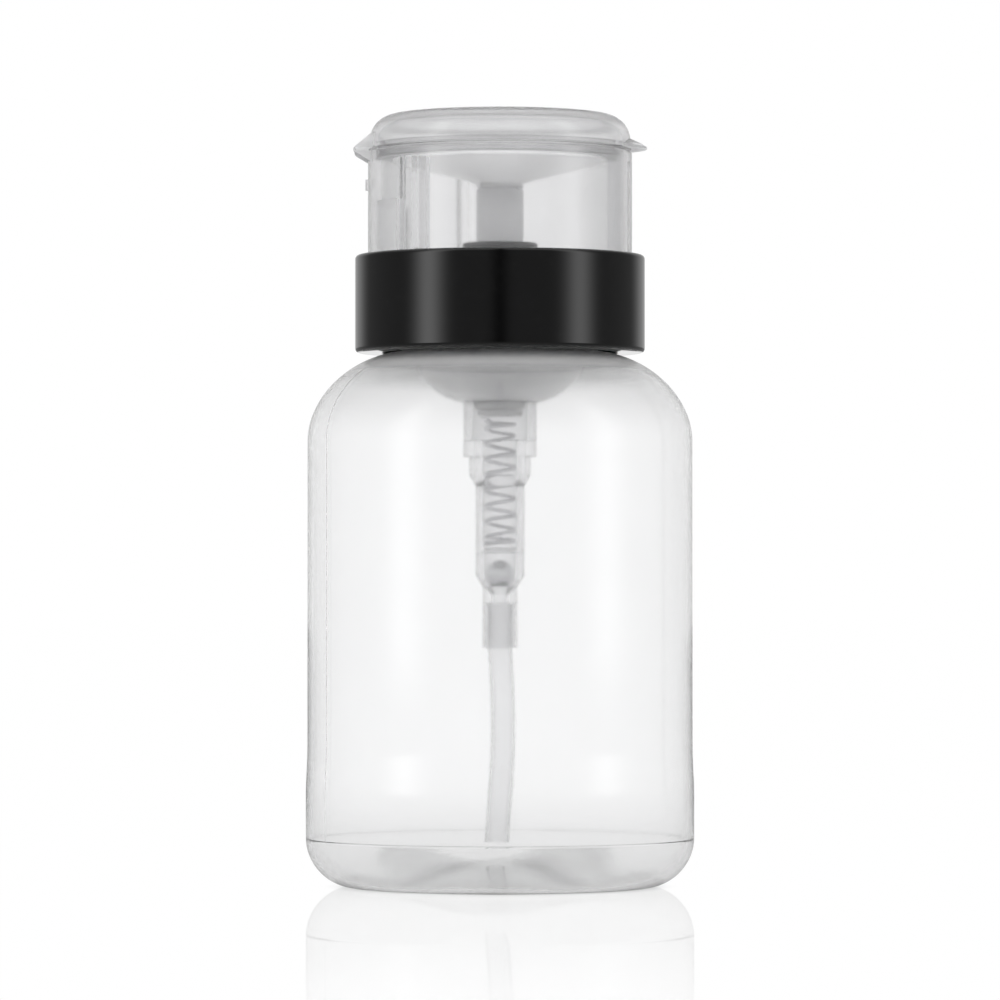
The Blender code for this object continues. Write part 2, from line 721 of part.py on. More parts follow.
def make_pump_housing(material):
    outline = rounded(
        [
            (SPIGOT_OUTSIDE, SPIGOT_BOTTOM),
            (SPIGOT_OUTSIDE, SPIGOT_TOP),
            (BARREL_RADIUS, BARREL_BOTTOM),
            (BARREL_RADIUS, BARREL_TOP),
            (STEP_RADIUS, STEP_BOTTOM),
            (STEP_RADIUS, FLOOR_BOTTOM),
            (CHAMBER_RADIUS, FLOOR_BOTTOM, EDGE_FILLET),
            (CHAMBER_RADIUS, HEAD_BOTTOM - HEAD_FLARE),
            (HEAD_RADIUS, HEAD_BOTTOM),
            (HEAD_RADIUS, FLANGE_BOTTOM),
            (NECK_RADIUS - SEAT_GAP, FLANGE_BOTTOM),
            (NECK_RADIUS - SEAT_GAP, FLANGE_TOP),
            (HEAD_RADIUS, FLANGE_TOP),
            (HEAD_RADIUS, HEAD_TOP),
            (HEAD_BORE, HEAD_TOP),
            (HEAD_BORE, HEAD_BOTTOM),
            (CHAMBER_BORE, HEAD_BOTTOM),
            (CHAMBER_BORE, CHAMBER_FLOOR),
            (BARREL_BORE, CHAMBER_FLOOR),
            (BARREL_BORE, CAGE_SEAT),
            (BALL_BORE, CAGE_SEAT),
            (BALL_BORE, SPIGOT_TOP + SEAT_DEPTH / 2),
            (INLET_BORE, SPIGOT_TOP - SEAT_DEPTH / 2),
            (INLET_BORE, SOCKET_TOP),
            (SOCKET_RADIUS, SOCKET_TOP),
            (SOCKET_RADIUS, SPIGOT_BOTTOM),
        ]
    )
    housing = turned("pump_housing", outline, MEDIUM_SIDES, material)
    gussets = []
    for index in range(GUSSET_COUNT):
        corner = (HEAD_RADIUS - HEAD_WALL / 2, -GUSSET_THICKNESS / 2, FLANGE_BOTTOM - GUSSET_HEIGHT)
        far = (
            NECK_RADIUS - GUSSET_INSET,
            GUSSET_THICKNESS / 2,
            FLANGE_BOTTOM + HOUSING_FLANGE / 2,
        )
        gussets.append((corner, far, FULL_TURN * (index + 0.5) / GUSSET_COUNT))
    combine(housing, blocks("pump_housing_gussets", gussets), "UNION")
    vent = disc("pump_housing_vent", VENT_RADIUS, 0, CHAMBER_RADIUS + CUT_OVERRUN, sides=TUBE_SIDES)
    vent.rotation_euler = (math.pi / 2, 0, math.pi)
    vent.location = (0, 0, FLANGE_BOTTOM - VENT_DROP)
    combine(housing, vent, "DIFFERENCE")
    return housing


def make_chaplet(material):
    plug = HEAD_BORE - PRESS_GAP
    bore = STEM_RADIUS + RUN_GAP
    outline = rounded(
        [
            (bore, CHAPLET_BOTTOM - CHAPLET_PLUG),
            (plug, CHAPLET_BOTTOM - CHAPLET_PLUG, EDGE_FILLET),
            (plug, CHAPLET_BOTTOM),
            (CHAPLET_RADIUS, CHAPLET_BOTTOM),
            (CHAPLET_RADIUS, CHAPLET_TOP, EDGE_FILLET),
            (bore, CHAPLET_TOP, EDGE_FILLET),
        ]
    )
    return turned("chaplet", outline, MEDIUM_SIDES, material)


def make_stem_wiper(material):
    top = CHAPLET_BOTTOM - CHAPLET_PLUG - SEAT_GAP
    low = top - WIPER_HEIGHT
    outside = HEAD_BORE - PRESS_GAP
    bore = STEM_RADIUS + RUN_GAP
    outline = [
        (bore + WIPER_LIP, low + WIPER_LIP),
        (outside - WIPER_LIP, low + WIPER_LIP),
        (outside, low),
        (outside, top),
        (bore + WIPER_LIP, top),
        (bore, top - WIPER_LIP),
        (bore, low),
    ]
    return turned("stem_wiper", outline, MEDIUM_SIDES, material)


def make_stem(material):
    socket = RETAINER_PLUG + PRESS_GAP
    socket_top = RETAINER_BOTTOM + RETAINER_FLANGE + RETAINER_LENGTH + SEAT_GAP
    outline = rounded(
        [
            (SEAL_SLEEVE, SEAL_BOTTOM),
            (SEAL_SLEEVE, STEM_SHOULDER),
            (STEM_RADIUS, STEM_SHOULDER),
            (STEM_RADIUS, SHOULDER_TOP),
            (SPIGOT_RADIUS, SHOULDER_TOP),
            (SPIGOT_RADIUS, CHAMBER_TOP),
            (OUTLET_CHAMBER, CHAMBER_TOP),
            (OUTLET_CHAMBER, OUTLET_SEAT),
            (STEM_BORE, OUTLET_SEAT - OUTLET_SEAT_DEPTH),
            (STEM_BORE, socket_top),
            (socket, socket_top),
            (socket, SEAL_BOTTOM),
        ]
    )
    return turned("stem", outline, SMALL_SIDES, material)


def make_piston_seal(material):
    bore = SEAL_SLEEVE + PRESS_GAP
    lip = CHAMBER_BORE - RUN_GAP
    waist = lip - SEAL_WAIST
    outline = rounded(
        [
            (bore, SEAL_BOTTOM),
            (lip - SEAL_WAIST / 2, SEAL_BOTTOM),
            (lip, SEAL_BOTTOM + SEAL_WAIST),
            (lip, SEAL_BOTTOM + SEAL_LIP),
            (waist, SEAL_BOTTOM + SEAL_LIP + SEAL_WAIST),
            (waist, SEAL_TOP - SEAL_LIP - SEAL_WAIST),
            (lip, SEAL_TOP - SEAL_LIP),
            (lip, SEAL_TOP - SEAL_WAIST),
            (lip - SEAL_WAIST / 2, SEAL_TOP),
            (bore, SEAL_TOP),
        ]
    )
    return turned("piston_seal", outline, MEDIUM_SIDES, material)


def make_piston_retainer(material):
    plug_bottom = RETAINER_BOTTOM + RETAINER_FLANGE
    outline = rounded(
        [
            (RETAINER_BORE, RETAINER_BOTTOM),
            (RETAINER_RADIUS, RETAINER_BOTTOM, EDGE_FILLET),
            (RETAINER_RADIUS, plug_bottom),
            (RETAINER_PLUG, plug_bottom),
            (RETAINER_PLUG, plug_bottom + RETAINER_LENGTH, EDGE_FILLET),
            (RETAINER_BORE, plug_bottom + RETAINER_LENGTH),
        ]
    )
    return turned("piston_retainer", outline, SMALL_SIDES, material)


def dish_line(height, rise):
    """One face of the dish's conical floor, from this height at its stub up to its lip."""
    line = []
    for step in range(ARC_STEPS):
        share = step / (ARC_STEPS - 1)
        radius = STEM_RADIUS + (DISH_RADIUS - STEM_RADIUS) * share
        line.append((radius, height + rise * share**DISH_POWER))
    return line


def make_dish(material):
    under = dish_line(DISH_BOTTOM + DISH_STUB, DISH_RISE)
    over_rise = DISH_RISE + DISH_LIP_THICKNESS - DISH_THICKNESS
    over = dish_line(DISH_BOTTOM + DISH_STUB + DISH_THICKNESS, over_rise)
    boss = STEM_RADIUS + SEAT_GAP
    socket = SPIGOT_RADIUS + SEAT_GAP
    ledge = CHAMBER_TOP + SEAT_GAP
    lip_fillet = DISH_LIP_THICKNESS / 3
    outline = rounded(
        [
            (socket, DISH_BOTTOM),
            (STEM_RADIUS, DISH_BOTTOM),
            *under[:-1],
            (*under[-1], lip_fillet),
            (*over[-1], lip_fillet),
            *over[-2:0:-1],
            (boss, under[0][1] + DISH_THICKNESS),
            (boss, BOSS_TOP, EDGE_FILLET),
            (OUTLET_CHAMBER, BOSS_TOP),
            (OUTLET_CHAMBER, ledge),
            (socket, ledge),
        ]
    )
    return turned("dish", outline, LARGE_SIDES, material)


def make_outlet_nozzle(material):
    plug = OUTLET_CHAMBER - PRESS_GAP
    head_bottom = BOSS_TOP + SEAT_GAP
    head_top = head_bottom + NOZZLE_HEAD
    outline = rounded(
        [
            (0, head_bottom - NOZZLE_DROP),
            (plug, head_bottom - NOZZLE_DROP),
            (plug, head_bottom),
            (NOZZLE_HEAD_RADIUS, head_bottom),
            (NOZZLE_HEAD_RADIUS, head_top, EDGE_FILLET),
            (0, head_top),
        ],
        closed=False,
    )
    nozzle = turned("outlet_nozzle", outline, SMALL_SIDES, material, closed=False)
    reach = NOZZLE_HEAD_RADIUS + CUT_OVERRUN
    half = NOZZLE_SLOT / 2
    slots = []
    for turn in (0, math.pi / 2):
        low = (-reach, -half, head_bottom - NOZZLE_DROP - CUT_OVERRUN)
        high = (reach, half, head_bottom + NOZZLE_HEAD / 3)
        slots.append((low, high, turn))
    for index, slot in enumerate(slots):
        combine(nozzle, blocks(f"outlet_nozzle_slot_{index}", [slot]), "DIFFERENCE")
    return nozzle


def make_ball(name, radius, height, material):
    shape = bmesh.new()
    place = Matrix.Translation((0, 0, height))
    bmesh.ops.create_uvsphere(
        shape, u_segments=BALL_SIDES, v_segments=BALL_RINGS, radius=radius, matrix=place
    )
    return finish(name, shape, material)


def seated_height(radius, wide, wide_height, narrow, narrow_height, gap):
    """Centre height of a ball that clears a cone by the gap."""
    run = wide - narrow
    rise = wide_height - narrow_height
    slant = math.hypot(run, rise)
    return narrow_height + ((radius + gap) * slant - narrow * rise) / run


def make_inlet_ball(material):
    height = seated_height(
        INLET_BALL_RADIUS,
        BALL_BORE,
        SPIGOT_TOP + SEAT_DEPTH / 2,
        INLET_BORE,
        SPIGOT_TOP - SEAT_DEPTH / 2,
        SEAT_GAP,
    )
    return make_ball("inlet_ball", INLET_BALL_RADIUS, height, material)


def make_outlet_ball(material):
    height = seated_height(
        OUTLET_BALL_RADIUS,
        OUTLET_CHAMBER,
        OUTLET_SEAT,
        STEM_BORE,
        OUTLET_SEAT - OUTLET_SEAT_DEPTH,
        SEAT_GAP,
    )
    return make_ball("outlet_ball", OUTLET_BALL_RADIUS, height, material)


def make_ball_cage(material):
    outside = BARREL_BORE - PRESS_GAP
    outline = rounded(
        [
            (CAGE_BORE, CAGE_BOTTOM),
            (outside, CAGE_BOTTOM),
            (outside, CAGE_BOTTOM + CAGE_THICKNESS),
            (CAGE_BORE, CAGE_BOTTOM + CAGE_THICKNESS, EDGE_FILLET),
        ]
    )
    return turned("ball_cage", outline, SMALL_SIDES, material)


def spring_line():
    """Centre line of the wire: one close turn at each end, and an even pitch between them."""
    low = SPRING_BOTTOM + WIRE_RADIUS
    high = SPRING_TOP - WIRE_RADIUS
    even_turns = (high - low - 2 * SPRING_END_PITCH) / SPRING_PITCH
    turns = even_turns + 2
    count = round(turns * CURL_POINTS)
    line = []
    for index in range(count + 1):
        turn = turns * index / count
        if turn < 1:
            height = low + SPRING_END_PITCH * turn
        elif turn < 1 + even_turns:
            height = low + SPRING_END_PITCH + SPRING_PITCH * (turn - 1)
        else:
            height = high - SPRING_END_PITCH * (turns - turn)
        angle = SPRING_START_TURN + FULL_TURN * turn
        line.append(Vector((SPRING_RADIUS * math.cos(angle), SPRING_RADIUS * math.sin(angle), height)))
    start_way = Vector((math.sin(SPRING_START_TURN), -math.cos(SPRING_START_TURN), 0))
    end_angle = SPRING_START_TURN + FULL_TURN * turns
    end_way = Vector((-math.sin(end_angle), math.cos(end_angle), 0))
    line.insert(0, line[0] + start_way * 2 * WIRE_RADIUS)
    line.append(line[-1] + end_way * 2 * WIRE_RADIUS)
    return line


def least_gap(line, radius, skip):
    """Least clear distance between stretches of the wire that are more than this many points apart."""
    least = None
    for index, point in enumerate(line):
        for other in line[index + skip :]:
            apart = (point - other).length - 2 * radius
            least = apart if least is None else min(least, apart)
    return least


def make_spring(material):
    line = spring_line()
    print(f"spring: least gap to itself {least_gap(line, WIRE_RADIUS, CURL_POINTS // 2 + 2) * 1000:.2f} mm")
    curve = bpy.data.curves.new("spring", "CURVE")
    curve.dimensions = "3D"
    curve.bevel_depth = WIRE_RADIUS
    curve.bevel_resolution = 1
    curve.use_fill_caps = True
    spline = curve.splines.new("POLY")
    spline.points.add(len(line) - 1)
    for point, place in zip(spline.points, line):
        point.co = (*place, 1)
    curve.materials.append(material)
    thing = bpy.data.objects.new("spring", curve)
    bpy.context.scene.collection.objects.link(thing)
    return thing


def make_dip_tube(material):
    """A drawn tube that is straight in its socket and bends a little below it."""
    top = SOCKET_TOP - SEAT_GAP
    bottom = PUSH_UP + BOTTLE_WALL + TUBE_FLOOR_GAP
    path = [Vector((0, 0, top)), Vector((0, 0, SPIGOT_BOTTOM))]
    for step in range(1, TUBE_STATIONS + 1):
        share = step / TUBE_STATIONS
        sway = TUBE_BEND * (math.sin(FULL_TURN * SWAY_TURN_SHARE * share) - SWAY_LEAN_SHARE * share)
        path.append(Vector((sway, 0, SPIGOT_BOTTOM + (bottom - SPIGOT_BOTTOM) * share)))
    rings = []
    bore = TUBE_RADIUS - TUBE_WALL
    for side in range(TUBE_SIDES):
        turn = FULL_TURN * side / TUBE_SIDES
        way = Vector((math.cos(turn), math.sin(turn), 0))
        outside = [point + way * TUBE_RADIUS for point in path]
        inside = [point + way * bore for point in path]
        rings.append(outside + inside[::-1])
    return lofted("dip_tube", rings, material, closed=True)


def add_axis(name, place, pieces):
    """An empty on a joint's axis that carries the pieces of its body."""
    axis = bpy.data.objects.new(name, None)
    axis.empty_display_size = BODY_RADIUS
    axis.location = place
    bpy.context.scene.collection.objects.link(axis)
    for piece in pieces:
        piece.parent = axis
        piece.location = -Vector(place)


def main():
    for thing in list(bpy.data.objects):
        bpy.data.objects.remove(thing, do_unlink=True)

    frosted = new_material("frosted_bottle", (0.86, 0.86, 0.87), 0.32, clear=0.85)
    natural = new_material("natural_plastic", (0.84, 0.84, 0.85), 0.28, clear=0.75)
    milky = new_material("milky_plastic", (0.80, 0.80, 0.81), 0.38, clear=0.45)
    clear_lid = new_material("clear_lid", (0.88, 0.88, 0.88), 0.18, clear=0.90)
    black_cap = new_material("black_cap_plastic", (0.02, 0.02, 0.02), 0.42)
    black_gloss = new_material("black_gloss", (0.006, 0.006, 0.006), 0.08)
    foam = new_material("gasket_foam", (0.78, 0.78, 0.76), 0.75)
    steel = new_material("spring_steel", (0.55, 0.55, 0.56), 0.30)
    ball_steel = new_material("ball_steel", (0.45, 0.45, 0.46), 0.20)

    make_bottle(frosted)
    make_neck_plug(natural)
    make_neck_gasket(foam)
    cap = [make_screw_cap(black_cap), make_collar_shell(black_gloss), make_guard(clear_lid)]
    lid = make_lid(clear_lid)
    pump = [
        make_pump_housing(natural),
        make_chaplet(black_cap),
        make_stem_wiper(milky),
        make_spring(steel),
        make_ball_cage(milky),
        make_dip_tube(natural),
    ]
    press = [
        make_dish(natural),
        make_stem(milky),
        make_piston_seal(milky),
        make_piston_retainer(milky),
        make_outlet_nozzle(natural),
    ]
    inlet_ball = make_inlet_ball(ball_steel)
    outlet_ball = make_outlet_ball(ball_steel)

    add_axis("cap_turn_axis", (0, 0, DECK_TOP), cap)
    add_axis("pump_lift_axis", (0, 0, FLANGE_TOP), pump)
    add_axis("dish_press_axis", (0, 0, DISH_BOTTOM), press)
    add_axis("lid_hinge_axis", (HINGE_X, 0, HINGE_LEVEL), [lid])
    add_axis("inlet_ball_axis", (0, 0, BARREL_BOTTOM), [inlet_ball])
    add_axis("outlet_ball_axis", (0, 0, OUTLET_SEAT), [outlet_ball])


main()
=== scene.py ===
"""The looks of a press pump bottle for nail polish remover, laid out as an add-on.

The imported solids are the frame. Each operator rebuilds one piece, or a group of like pieces, as a fine
closed mesh over its solid, with a procedural finish. Small inner pieces keep their solids and get a
finish alone. Units are metres, +Z is up, and the origin is the middle of the bottle's base.
"""

import json
import math

import bmesh
import bpy
from mathutils import Matrix, Vector


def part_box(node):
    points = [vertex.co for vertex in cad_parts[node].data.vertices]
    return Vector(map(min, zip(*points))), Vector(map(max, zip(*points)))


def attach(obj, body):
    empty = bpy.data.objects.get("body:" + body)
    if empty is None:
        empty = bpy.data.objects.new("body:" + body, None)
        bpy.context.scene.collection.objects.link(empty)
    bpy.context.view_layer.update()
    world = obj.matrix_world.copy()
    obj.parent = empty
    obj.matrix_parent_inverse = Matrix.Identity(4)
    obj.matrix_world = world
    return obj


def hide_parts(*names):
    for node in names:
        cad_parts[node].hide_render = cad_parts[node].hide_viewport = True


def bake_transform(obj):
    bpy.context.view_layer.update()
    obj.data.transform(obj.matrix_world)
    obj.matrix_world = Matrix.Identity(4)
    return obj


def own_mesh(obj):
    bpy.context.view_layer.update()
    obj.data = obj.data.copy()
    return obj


bl_info = {
    "name": "Remover pump bottle",
    "version": (1, 0, 0),
    "blender": (4, 5, 0),
    "location": "3D View > Sidebar > Pump bottle",
    "description": "Builds a frosted press pump bottle with a hinged see-through lid",
    "category": "Object",
}

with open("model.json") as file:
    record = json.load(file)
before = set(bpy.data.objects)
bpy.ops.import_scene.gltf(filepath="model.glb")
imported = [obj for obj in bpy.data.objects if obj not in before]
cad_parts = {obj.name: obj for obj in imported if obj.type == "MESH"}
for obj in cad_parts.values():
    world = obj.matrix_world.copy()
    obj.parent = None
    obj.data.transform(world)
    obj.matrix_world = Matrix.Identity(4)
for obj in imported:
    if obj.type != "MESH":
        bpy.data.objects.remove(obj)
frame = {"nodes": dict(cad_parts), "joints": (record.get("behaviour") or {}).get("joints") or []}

FULL_TURN = 2 * math.pi

# Fineness of the meshes.
SIDES = 144
SMALL_SIDES = 72
WIRE_SIDES = 12
WIRE_STEPS = 36
TUBE_STEPS = 60
FILM_STEPS = 12
ARC_STEPS = 14
CORNER_STEPS = 4
SHARP_ANGLE = math.radians(32)
WELD = 1e-7

# Rounded corners: how much of a side one may take, how flat a corner is left alone, and how far the
# flats beside one are held, as a share of its reach.
CORNER_SHARE = 0.45
FLAT_CORNER = math.radians(80)
HOLD = 0.15

# Where the mesh is cut along an upright seam, in halves of the seam's width from its middle.
SEAM_CUTS = (-2, -1, -0.5, 0, 0.5, 1, 2)

# Gaps between pieces, in metres: seated, moving and pressed together.
SEAT_GAP = 0.00025
RUN_GAP = 0.00025
PRESS_GAP = 0.0001

# A ridge of thread: its turns on the neck and in the cap, its width where it ends, what that gains in
# between on each, how much of it is flat crest, how high its ends are, and the part of its run over
# which each end rises.
NECK_TURNS = 1.5
CAP_TURNS = 1.25
THREAD_END = 0.4
NECK_GAIN = 0.6
CAP_GAIN = 0.4
THREAD_CREST = 0.45
THREAD_TIP = 0.05
THREAD_LEAD = 1 / 12

# Scales of the noise in the finishes, which has features of about 1 / scale metres.
CLOUD_SCALE = 55
RIPPLE_SCALE = 60
DRAW_SCALE = 90
HAZE_SCALE = 120
RUB_SCALE = 160
FLOW_SCALE = 220
STAIN_SCALE = 300
HANDLING_SCALE = 420
SPECK_SCALE = 900
WEAR_SCALE = 1500
GRAIN_SCALE = 2600
SPARK_SCALE = 3200
CELL_SCALE = 3500

# Heights of the fine relief in the finishes, in metres.
FINE_RELIEF = 0.00001
PLAIN_RELIEF = 0.00002
CELL_RELIEF = 0.00008

BLACK = (0, 0, 0)
WHITE = (1, 1, 1)
BLOWN_IOR = 1.45
CLEAR_IOR = 1.46
MOULDED_IOR = 1.5
MILKY_ROUGH = 0.30

# How much of its light the milky neck lets through, and how much milkier the hinge's webs, the tab and
# the nib are than the wall they stand on.
GLOW_SHARE = 0.15
MILKY_EDGE = 0.6


def length(name, description, default):
    """A size in metres."""
    return bpy.props.FloatProperty(
        name=name, description=description, default=default, min=0, unit="LENGTH", precision=5
    )


def turn_angle(name, description, degrees):
    """An angle, given here in degrees and kept in radians."""
    return bpy.props.FloatProperty(
        name=name, description=description, default=math.radians(degrees), subtype="ANGLE"
    )


def share(name, description, default, most=1.0):
    """A plain number, mostly from 0 to 1."""
    return bpy.props.FloatProperty(
        name=name, description=description, default=default, min=0, max=most, precision=4
    )


def colour(name, description, red, green, blue):
    """A linear colour."""
    return bpy.props.FloatVectorProperty(
        name=name, description=description, default=(red, green, blue), min=0, max=1, subtype="COLOR"
    )


def frame_joint(name):
    return next(joint for joint in frame["joints"] if joint["name"] == name)


def node_top(node):
    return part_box(node)[1].z


def node_bottom(node):
    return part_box(node)[0].z


def node_radius(node):
    """The reach of a round piece along +X, where its facets have a corner."""
    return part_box(node)[1].x


class StudioSettings(bpy.types.PropertyGroup):
    """Camera, floor and light."""

    distance: length("Camera distance", "From the axis of the bottle to the lens", 0.880)
    height: length("Camera height", "Over the floor", 0.0475)
    rise: turn_angle("Camera rise", "How far the lens looks up", 0.828)
    lens: share("Focal length", "In millimetres, on a 36 mm sensor", 203.07, 1000)
    floor_reach: length("Floor reach", "Radius of the floor", 6.0)
    mirror: share("Mirror", "How much the glossy floor mirrors close to the bottle", 0.30)
    mirror_full: length("Mirror full", "Radius up to which the mirror is full", 0.13)
    mirror_end: length("Mirror end", "Radius at which the mirror is gone", 0.36)
    speck: share("Speck", "How much the floor's specks darken it", 0.002)
    floor_dim: share("Floor dim", "How much darker glossy pieces mirror the floor", 0.75)
    contact_shade: share("Contact shade", "How much the floor darkens at the base", 0.28)
    contact_start: length("Contact start", "Radius at which that shade begins to fade", 0.0215)
    contact_reach: length("Contact reach", "How far that shade runs out", 0.0065)
    band_left: share("Left softbox", "Radiance of the softbox left of the camera", 2.15, 20)
    band_right: share("Right softbox", "Radiance of the softbox right of the camera", 1.8, 20)
    turn_left: turn_angle("Left turn", "Where the left softbox lies, from the camera's line", -58.5)
    turn_right: turn_angle("Right turn", "Where the right softbox lies, from the camera's line", 66)
    band_spread: turn_angle("Softbox spread", "How far the softboxes fade out to each side", 12)
    room: share("Room", "Radiance of the room between the softboxes", 0.22, 20)
    overhead: share("Overhead", "Radiance that the ceiling adds", 0.7, 20)
    backdrop: share("Backdrop", "Radiance that the backdrop adds in reflections", 0.38, 20)
    backdrop_start: turn_angle("Backdrop start", "Turn at which it begins, from the camera's line", 125)
    backdrop_full: turn_angle("Backdrop full", "Turn from which it is full", 150)
    centre_gap: share("Centre gap", "How much darker it is straight behind the camera", 0.85)
    gap_spread: turn_angle("Gap spread", "How far that dark gap fades out to each side", 7)
    inner_fill: share("Inner fill", "How much white the pieces behind plastic reflect", 0.7)
    scatter_fill: share("Scatter fill", "Extra light on milky pieces behind clear walls", 1.6, 4)


class BottleSettings(bpy.types.PropertyGroup):
    """Blown bottle with its neck thread."""

    body: length("Body", "Radius of the body", 0.0300)
    foot_straight: length("Foot straight", "Upright part of the flared foot", 0.0065)
    foot_taper: length("Foot taper", "Height over which the foot runs into the body", 0.0080)
    corner_run: length("Corner run", "Width of the rounded bottom corner", 0.0072)
    corner_rise: length("Corner rise", "Height of the rounded bottom corner", 0.0075)
    corner_power: share("Corner bulge", "2 is a quarter ellipse", 1.9, 4)
    ring_width: length("Ring width", "Flat ring that the bottle stands on", 0.0012)
    push_up: length("Push-up", "Rise of the base in its middle", 0.0030)
    shoulder_start: length("Shoulder start", "Height at which the shoulder begins", 0.0695)
    shoulder_run: length("Shoulder run", "Width of the shoulder's curve", 0.0160)
    shoulder_rise: length("Shoulder rise", "Height of the shoulder's curve", 0.0140)
    shoulder_power: share("Shoulder bulge", "2 is a quarter ellipse", 1.9, 4)
    wall: length("Wall", "Thickness of the blown wall", 0.0009)
    neck: length("Neck", "Outer radius of the neck", 0.01525)
    neck_wall: length("Neck wall", "Thickness of the neck", 0.00185)
    neck_height: length("Neck height", "From the shoulder to the land", 0.00955)
    thread_depth: length("Thread depth", "How far the thread stands out", 0.0010)
    thread_pitch: length("Thread pitch", "Rise of the thread in one turn", 0.00423)
    thread_width: length("Thread width", "Height of the thread at its root", 0.0020)
    parting_depth: length("Parting line", "Depth of the mould line over the foot", 0.00005)
    seam_height: length("Seam height", "How far the two upright mould seams stand out", 0.00004)
    seam_width: length("Seam width", "Width of the upright mould seams", 0.00045)
    seam_fade: length("Seam fade", "Height over the mould line in which they rise", 0.0004)
    seam_turn: turn_angle("Seam turn", "Where the first upright seam lies, from +X", 207.2)
    frost: share("Frost", "Roughness of the satin frost", 0.075)
    clear_share: share("Clear share", "How much of the light passes, and isn't scattered white", 0.985)
    # Painted shade: the colour turns greyer down from the neck, partly for a thicker wall and partly as
    # shade under the collar.
    grey_reach: length("Grey reach", "How far down from the neck the wall is thicker and greyer", 0.0140)
    shoulder_painted_shade: share("Shoulder shade", "How much greyer it is at the neck", 0.17)
    wave_share: share("Wave share", "How much thicker the wall is in places round the base", 0.8)
    wave_turn: turn_angle("Wave turn", "Turn of those thicker places", 25)
    waves: bpy.props.IntProperty(name="Waves", description="Thicker places round the base", default=6)
    # Colour only: the wall is painted greyer towards the base; it isn't made thicker there.
    foot_reach: length("Foot reach", "How far up from the base the wall is thicker and greyer", 0.0180)
    foot_shade: share("Foot shade", "How much greyer it is at the base", 0.12)
    milky_reach: length("Milky reach", "How far down from the neck the wall turns milky", 0.0050)
    # Painted shade: the milky neck's colour is darkened for the shade under the collar.
    milky_painted_shade: share("Milky shade", "How much greyer the milky neck is", 0.14)
    milky_share: share("Milky share", "How milky the neck is", 0.85)
    tint: colour("Tint", "Colour of the frosted plastic", 0.990, 0.991, 0.993)
    edge_shade: share("Edge shade", "How much greyer the wall is edge on", 0.12)


class PlugSettings(bpy.types.PropertyGroup):
    """Plug in the neck."""

    wall: length("Wall", "Thickness of the plug", 0.0011)
    skirt: length("Skirt", "Straight part inside the neck", 0.0110)
    bowl_power: share("Bowl bulge", "2 is a quarter ellipse", 1.6, 4)
    tint: colour("Tint", "Colour of the uncoloured plastic", 0.96, 0.96, 0.965)


class PumpSettings(bpy.types.PropertyGroup):
    """Housing, spring and dip tube."""

    wall: length("Chamber wall", "Thickness of the chamber", 0.001325)
    chamber_bore: length("Chamber bore", "Radius of the piston's chamber", 0.004375)
    chamber_depth: length("Chamber depth", "From the flange to the chamber's floor", 0.0273)
    floor_thickness: length("Chamber floor", "Thickness under the chamber", 0.0025)
    step_radius: length("Step", "Radius of the step under the chamber", 0.0048)
    step_length: length("Step length", "Height of the step", 0.0028)
    step_taper: length("Step taper", "Cone from the step to the barrel", 0.00185)
    barrel_bore: length("Barrel bore", "Radius of the spring's barrel", 0.00275)
    barrel_wall: length("Barrel wall", "Thickness of the barrel", 0.00105)
    barrel_length: length("Barrel length", "From the cone to the cage's seat", 0.01035)
    ball_bay: length("Ball bay", "Height of the inlet ball's room", 0.00345)
    ball_ledge: length("Ball ledge", "Ledge that the cage sits on", 0.00025)
    spigot_taper: length("Spigot taper", "Cone from the barrel to the spigot", 0.0018)
    spigot_wall: length("Spigot wall", "Thickness round the dip tube", 0.00055)
    socket_depth: length("Socket depth", "How far the dip tube goes in", 0.0070)
    inlet_bore: length("Inlet bore", "Radius of the inlet", 0.0011)
    seat_depth: length("Seat depth", "Height of the ball's cone seat", 0.0026)
    head_bore: length("Head bore", "Radius inside the head", 0.00515)
    head_wall: length("Head wall", "Thickness of the head", 0.00135)
    head_depth: length("Head depth", "Head under the flange", 0.0053)
    head_flare: length("Head flare", "Cone from the head to the chamber", 0.0020)
    flange: length("Flange", "Thickness of the flange", 0.0012)
    gussets: bpy.props.IntProperty(name="Gussets", description="Webs under the flange", default=4)
    gusset: length("Gusset", "Thickness of the webs under the flange", 0.0010)
    gusset_drop: length("Gusset drop", "How far down the head the webs go", 0.003816)
    gusset_reach: share("Gusset reach", "How far out the webs go, as a share of the flange", 0.74)
    vent: length("Vent", "Radius of the air hole at the back of the chamber", 0.0006)
    vent_drop: length("Vent drop", "From the flange down to the air hole", 0.0112)
    tube: length("Dip tube", "Outer radius of the dip tube", 0.0019)
    tube_wall: length("Tube wall", "Thickness of the dip tube", 0.0004)
    tube_bend: length("Tube bend", "How far the dip tube sways", 0.00055)
    tube_lean: share("Tube lean", "How far its foot hangs over, as a share of that", 0.35)
    sway_turn: turn_angle("Sway turn", "Part of a wave that it follows", 216)
    wire: length("Wire", "Radius of the spring's wire", 0.00030)
    spring: length("Spring", "Mean radius of the spring", 0.00228)
    pitch: length("Pitch", "Rise of the spring in one turn", 0.002434)
    end_pitch: length("End pitch", "Rise of its close end turns", 0.0011)
    spring_turn: turn_angle("Spring turn", "Where the wire starts, from +X", 200)
    tint: colour("Tint", "Colour of the uncoloured plastic", 0.962, 0.962, 0.967)
    tube_tint: colour("Tube tint", "Colour of the dip tube", 0.992, 0.992, 0.995)
    wall_shade: share("Wall shade", "How much greyer the plastic is edge on", 0.30)


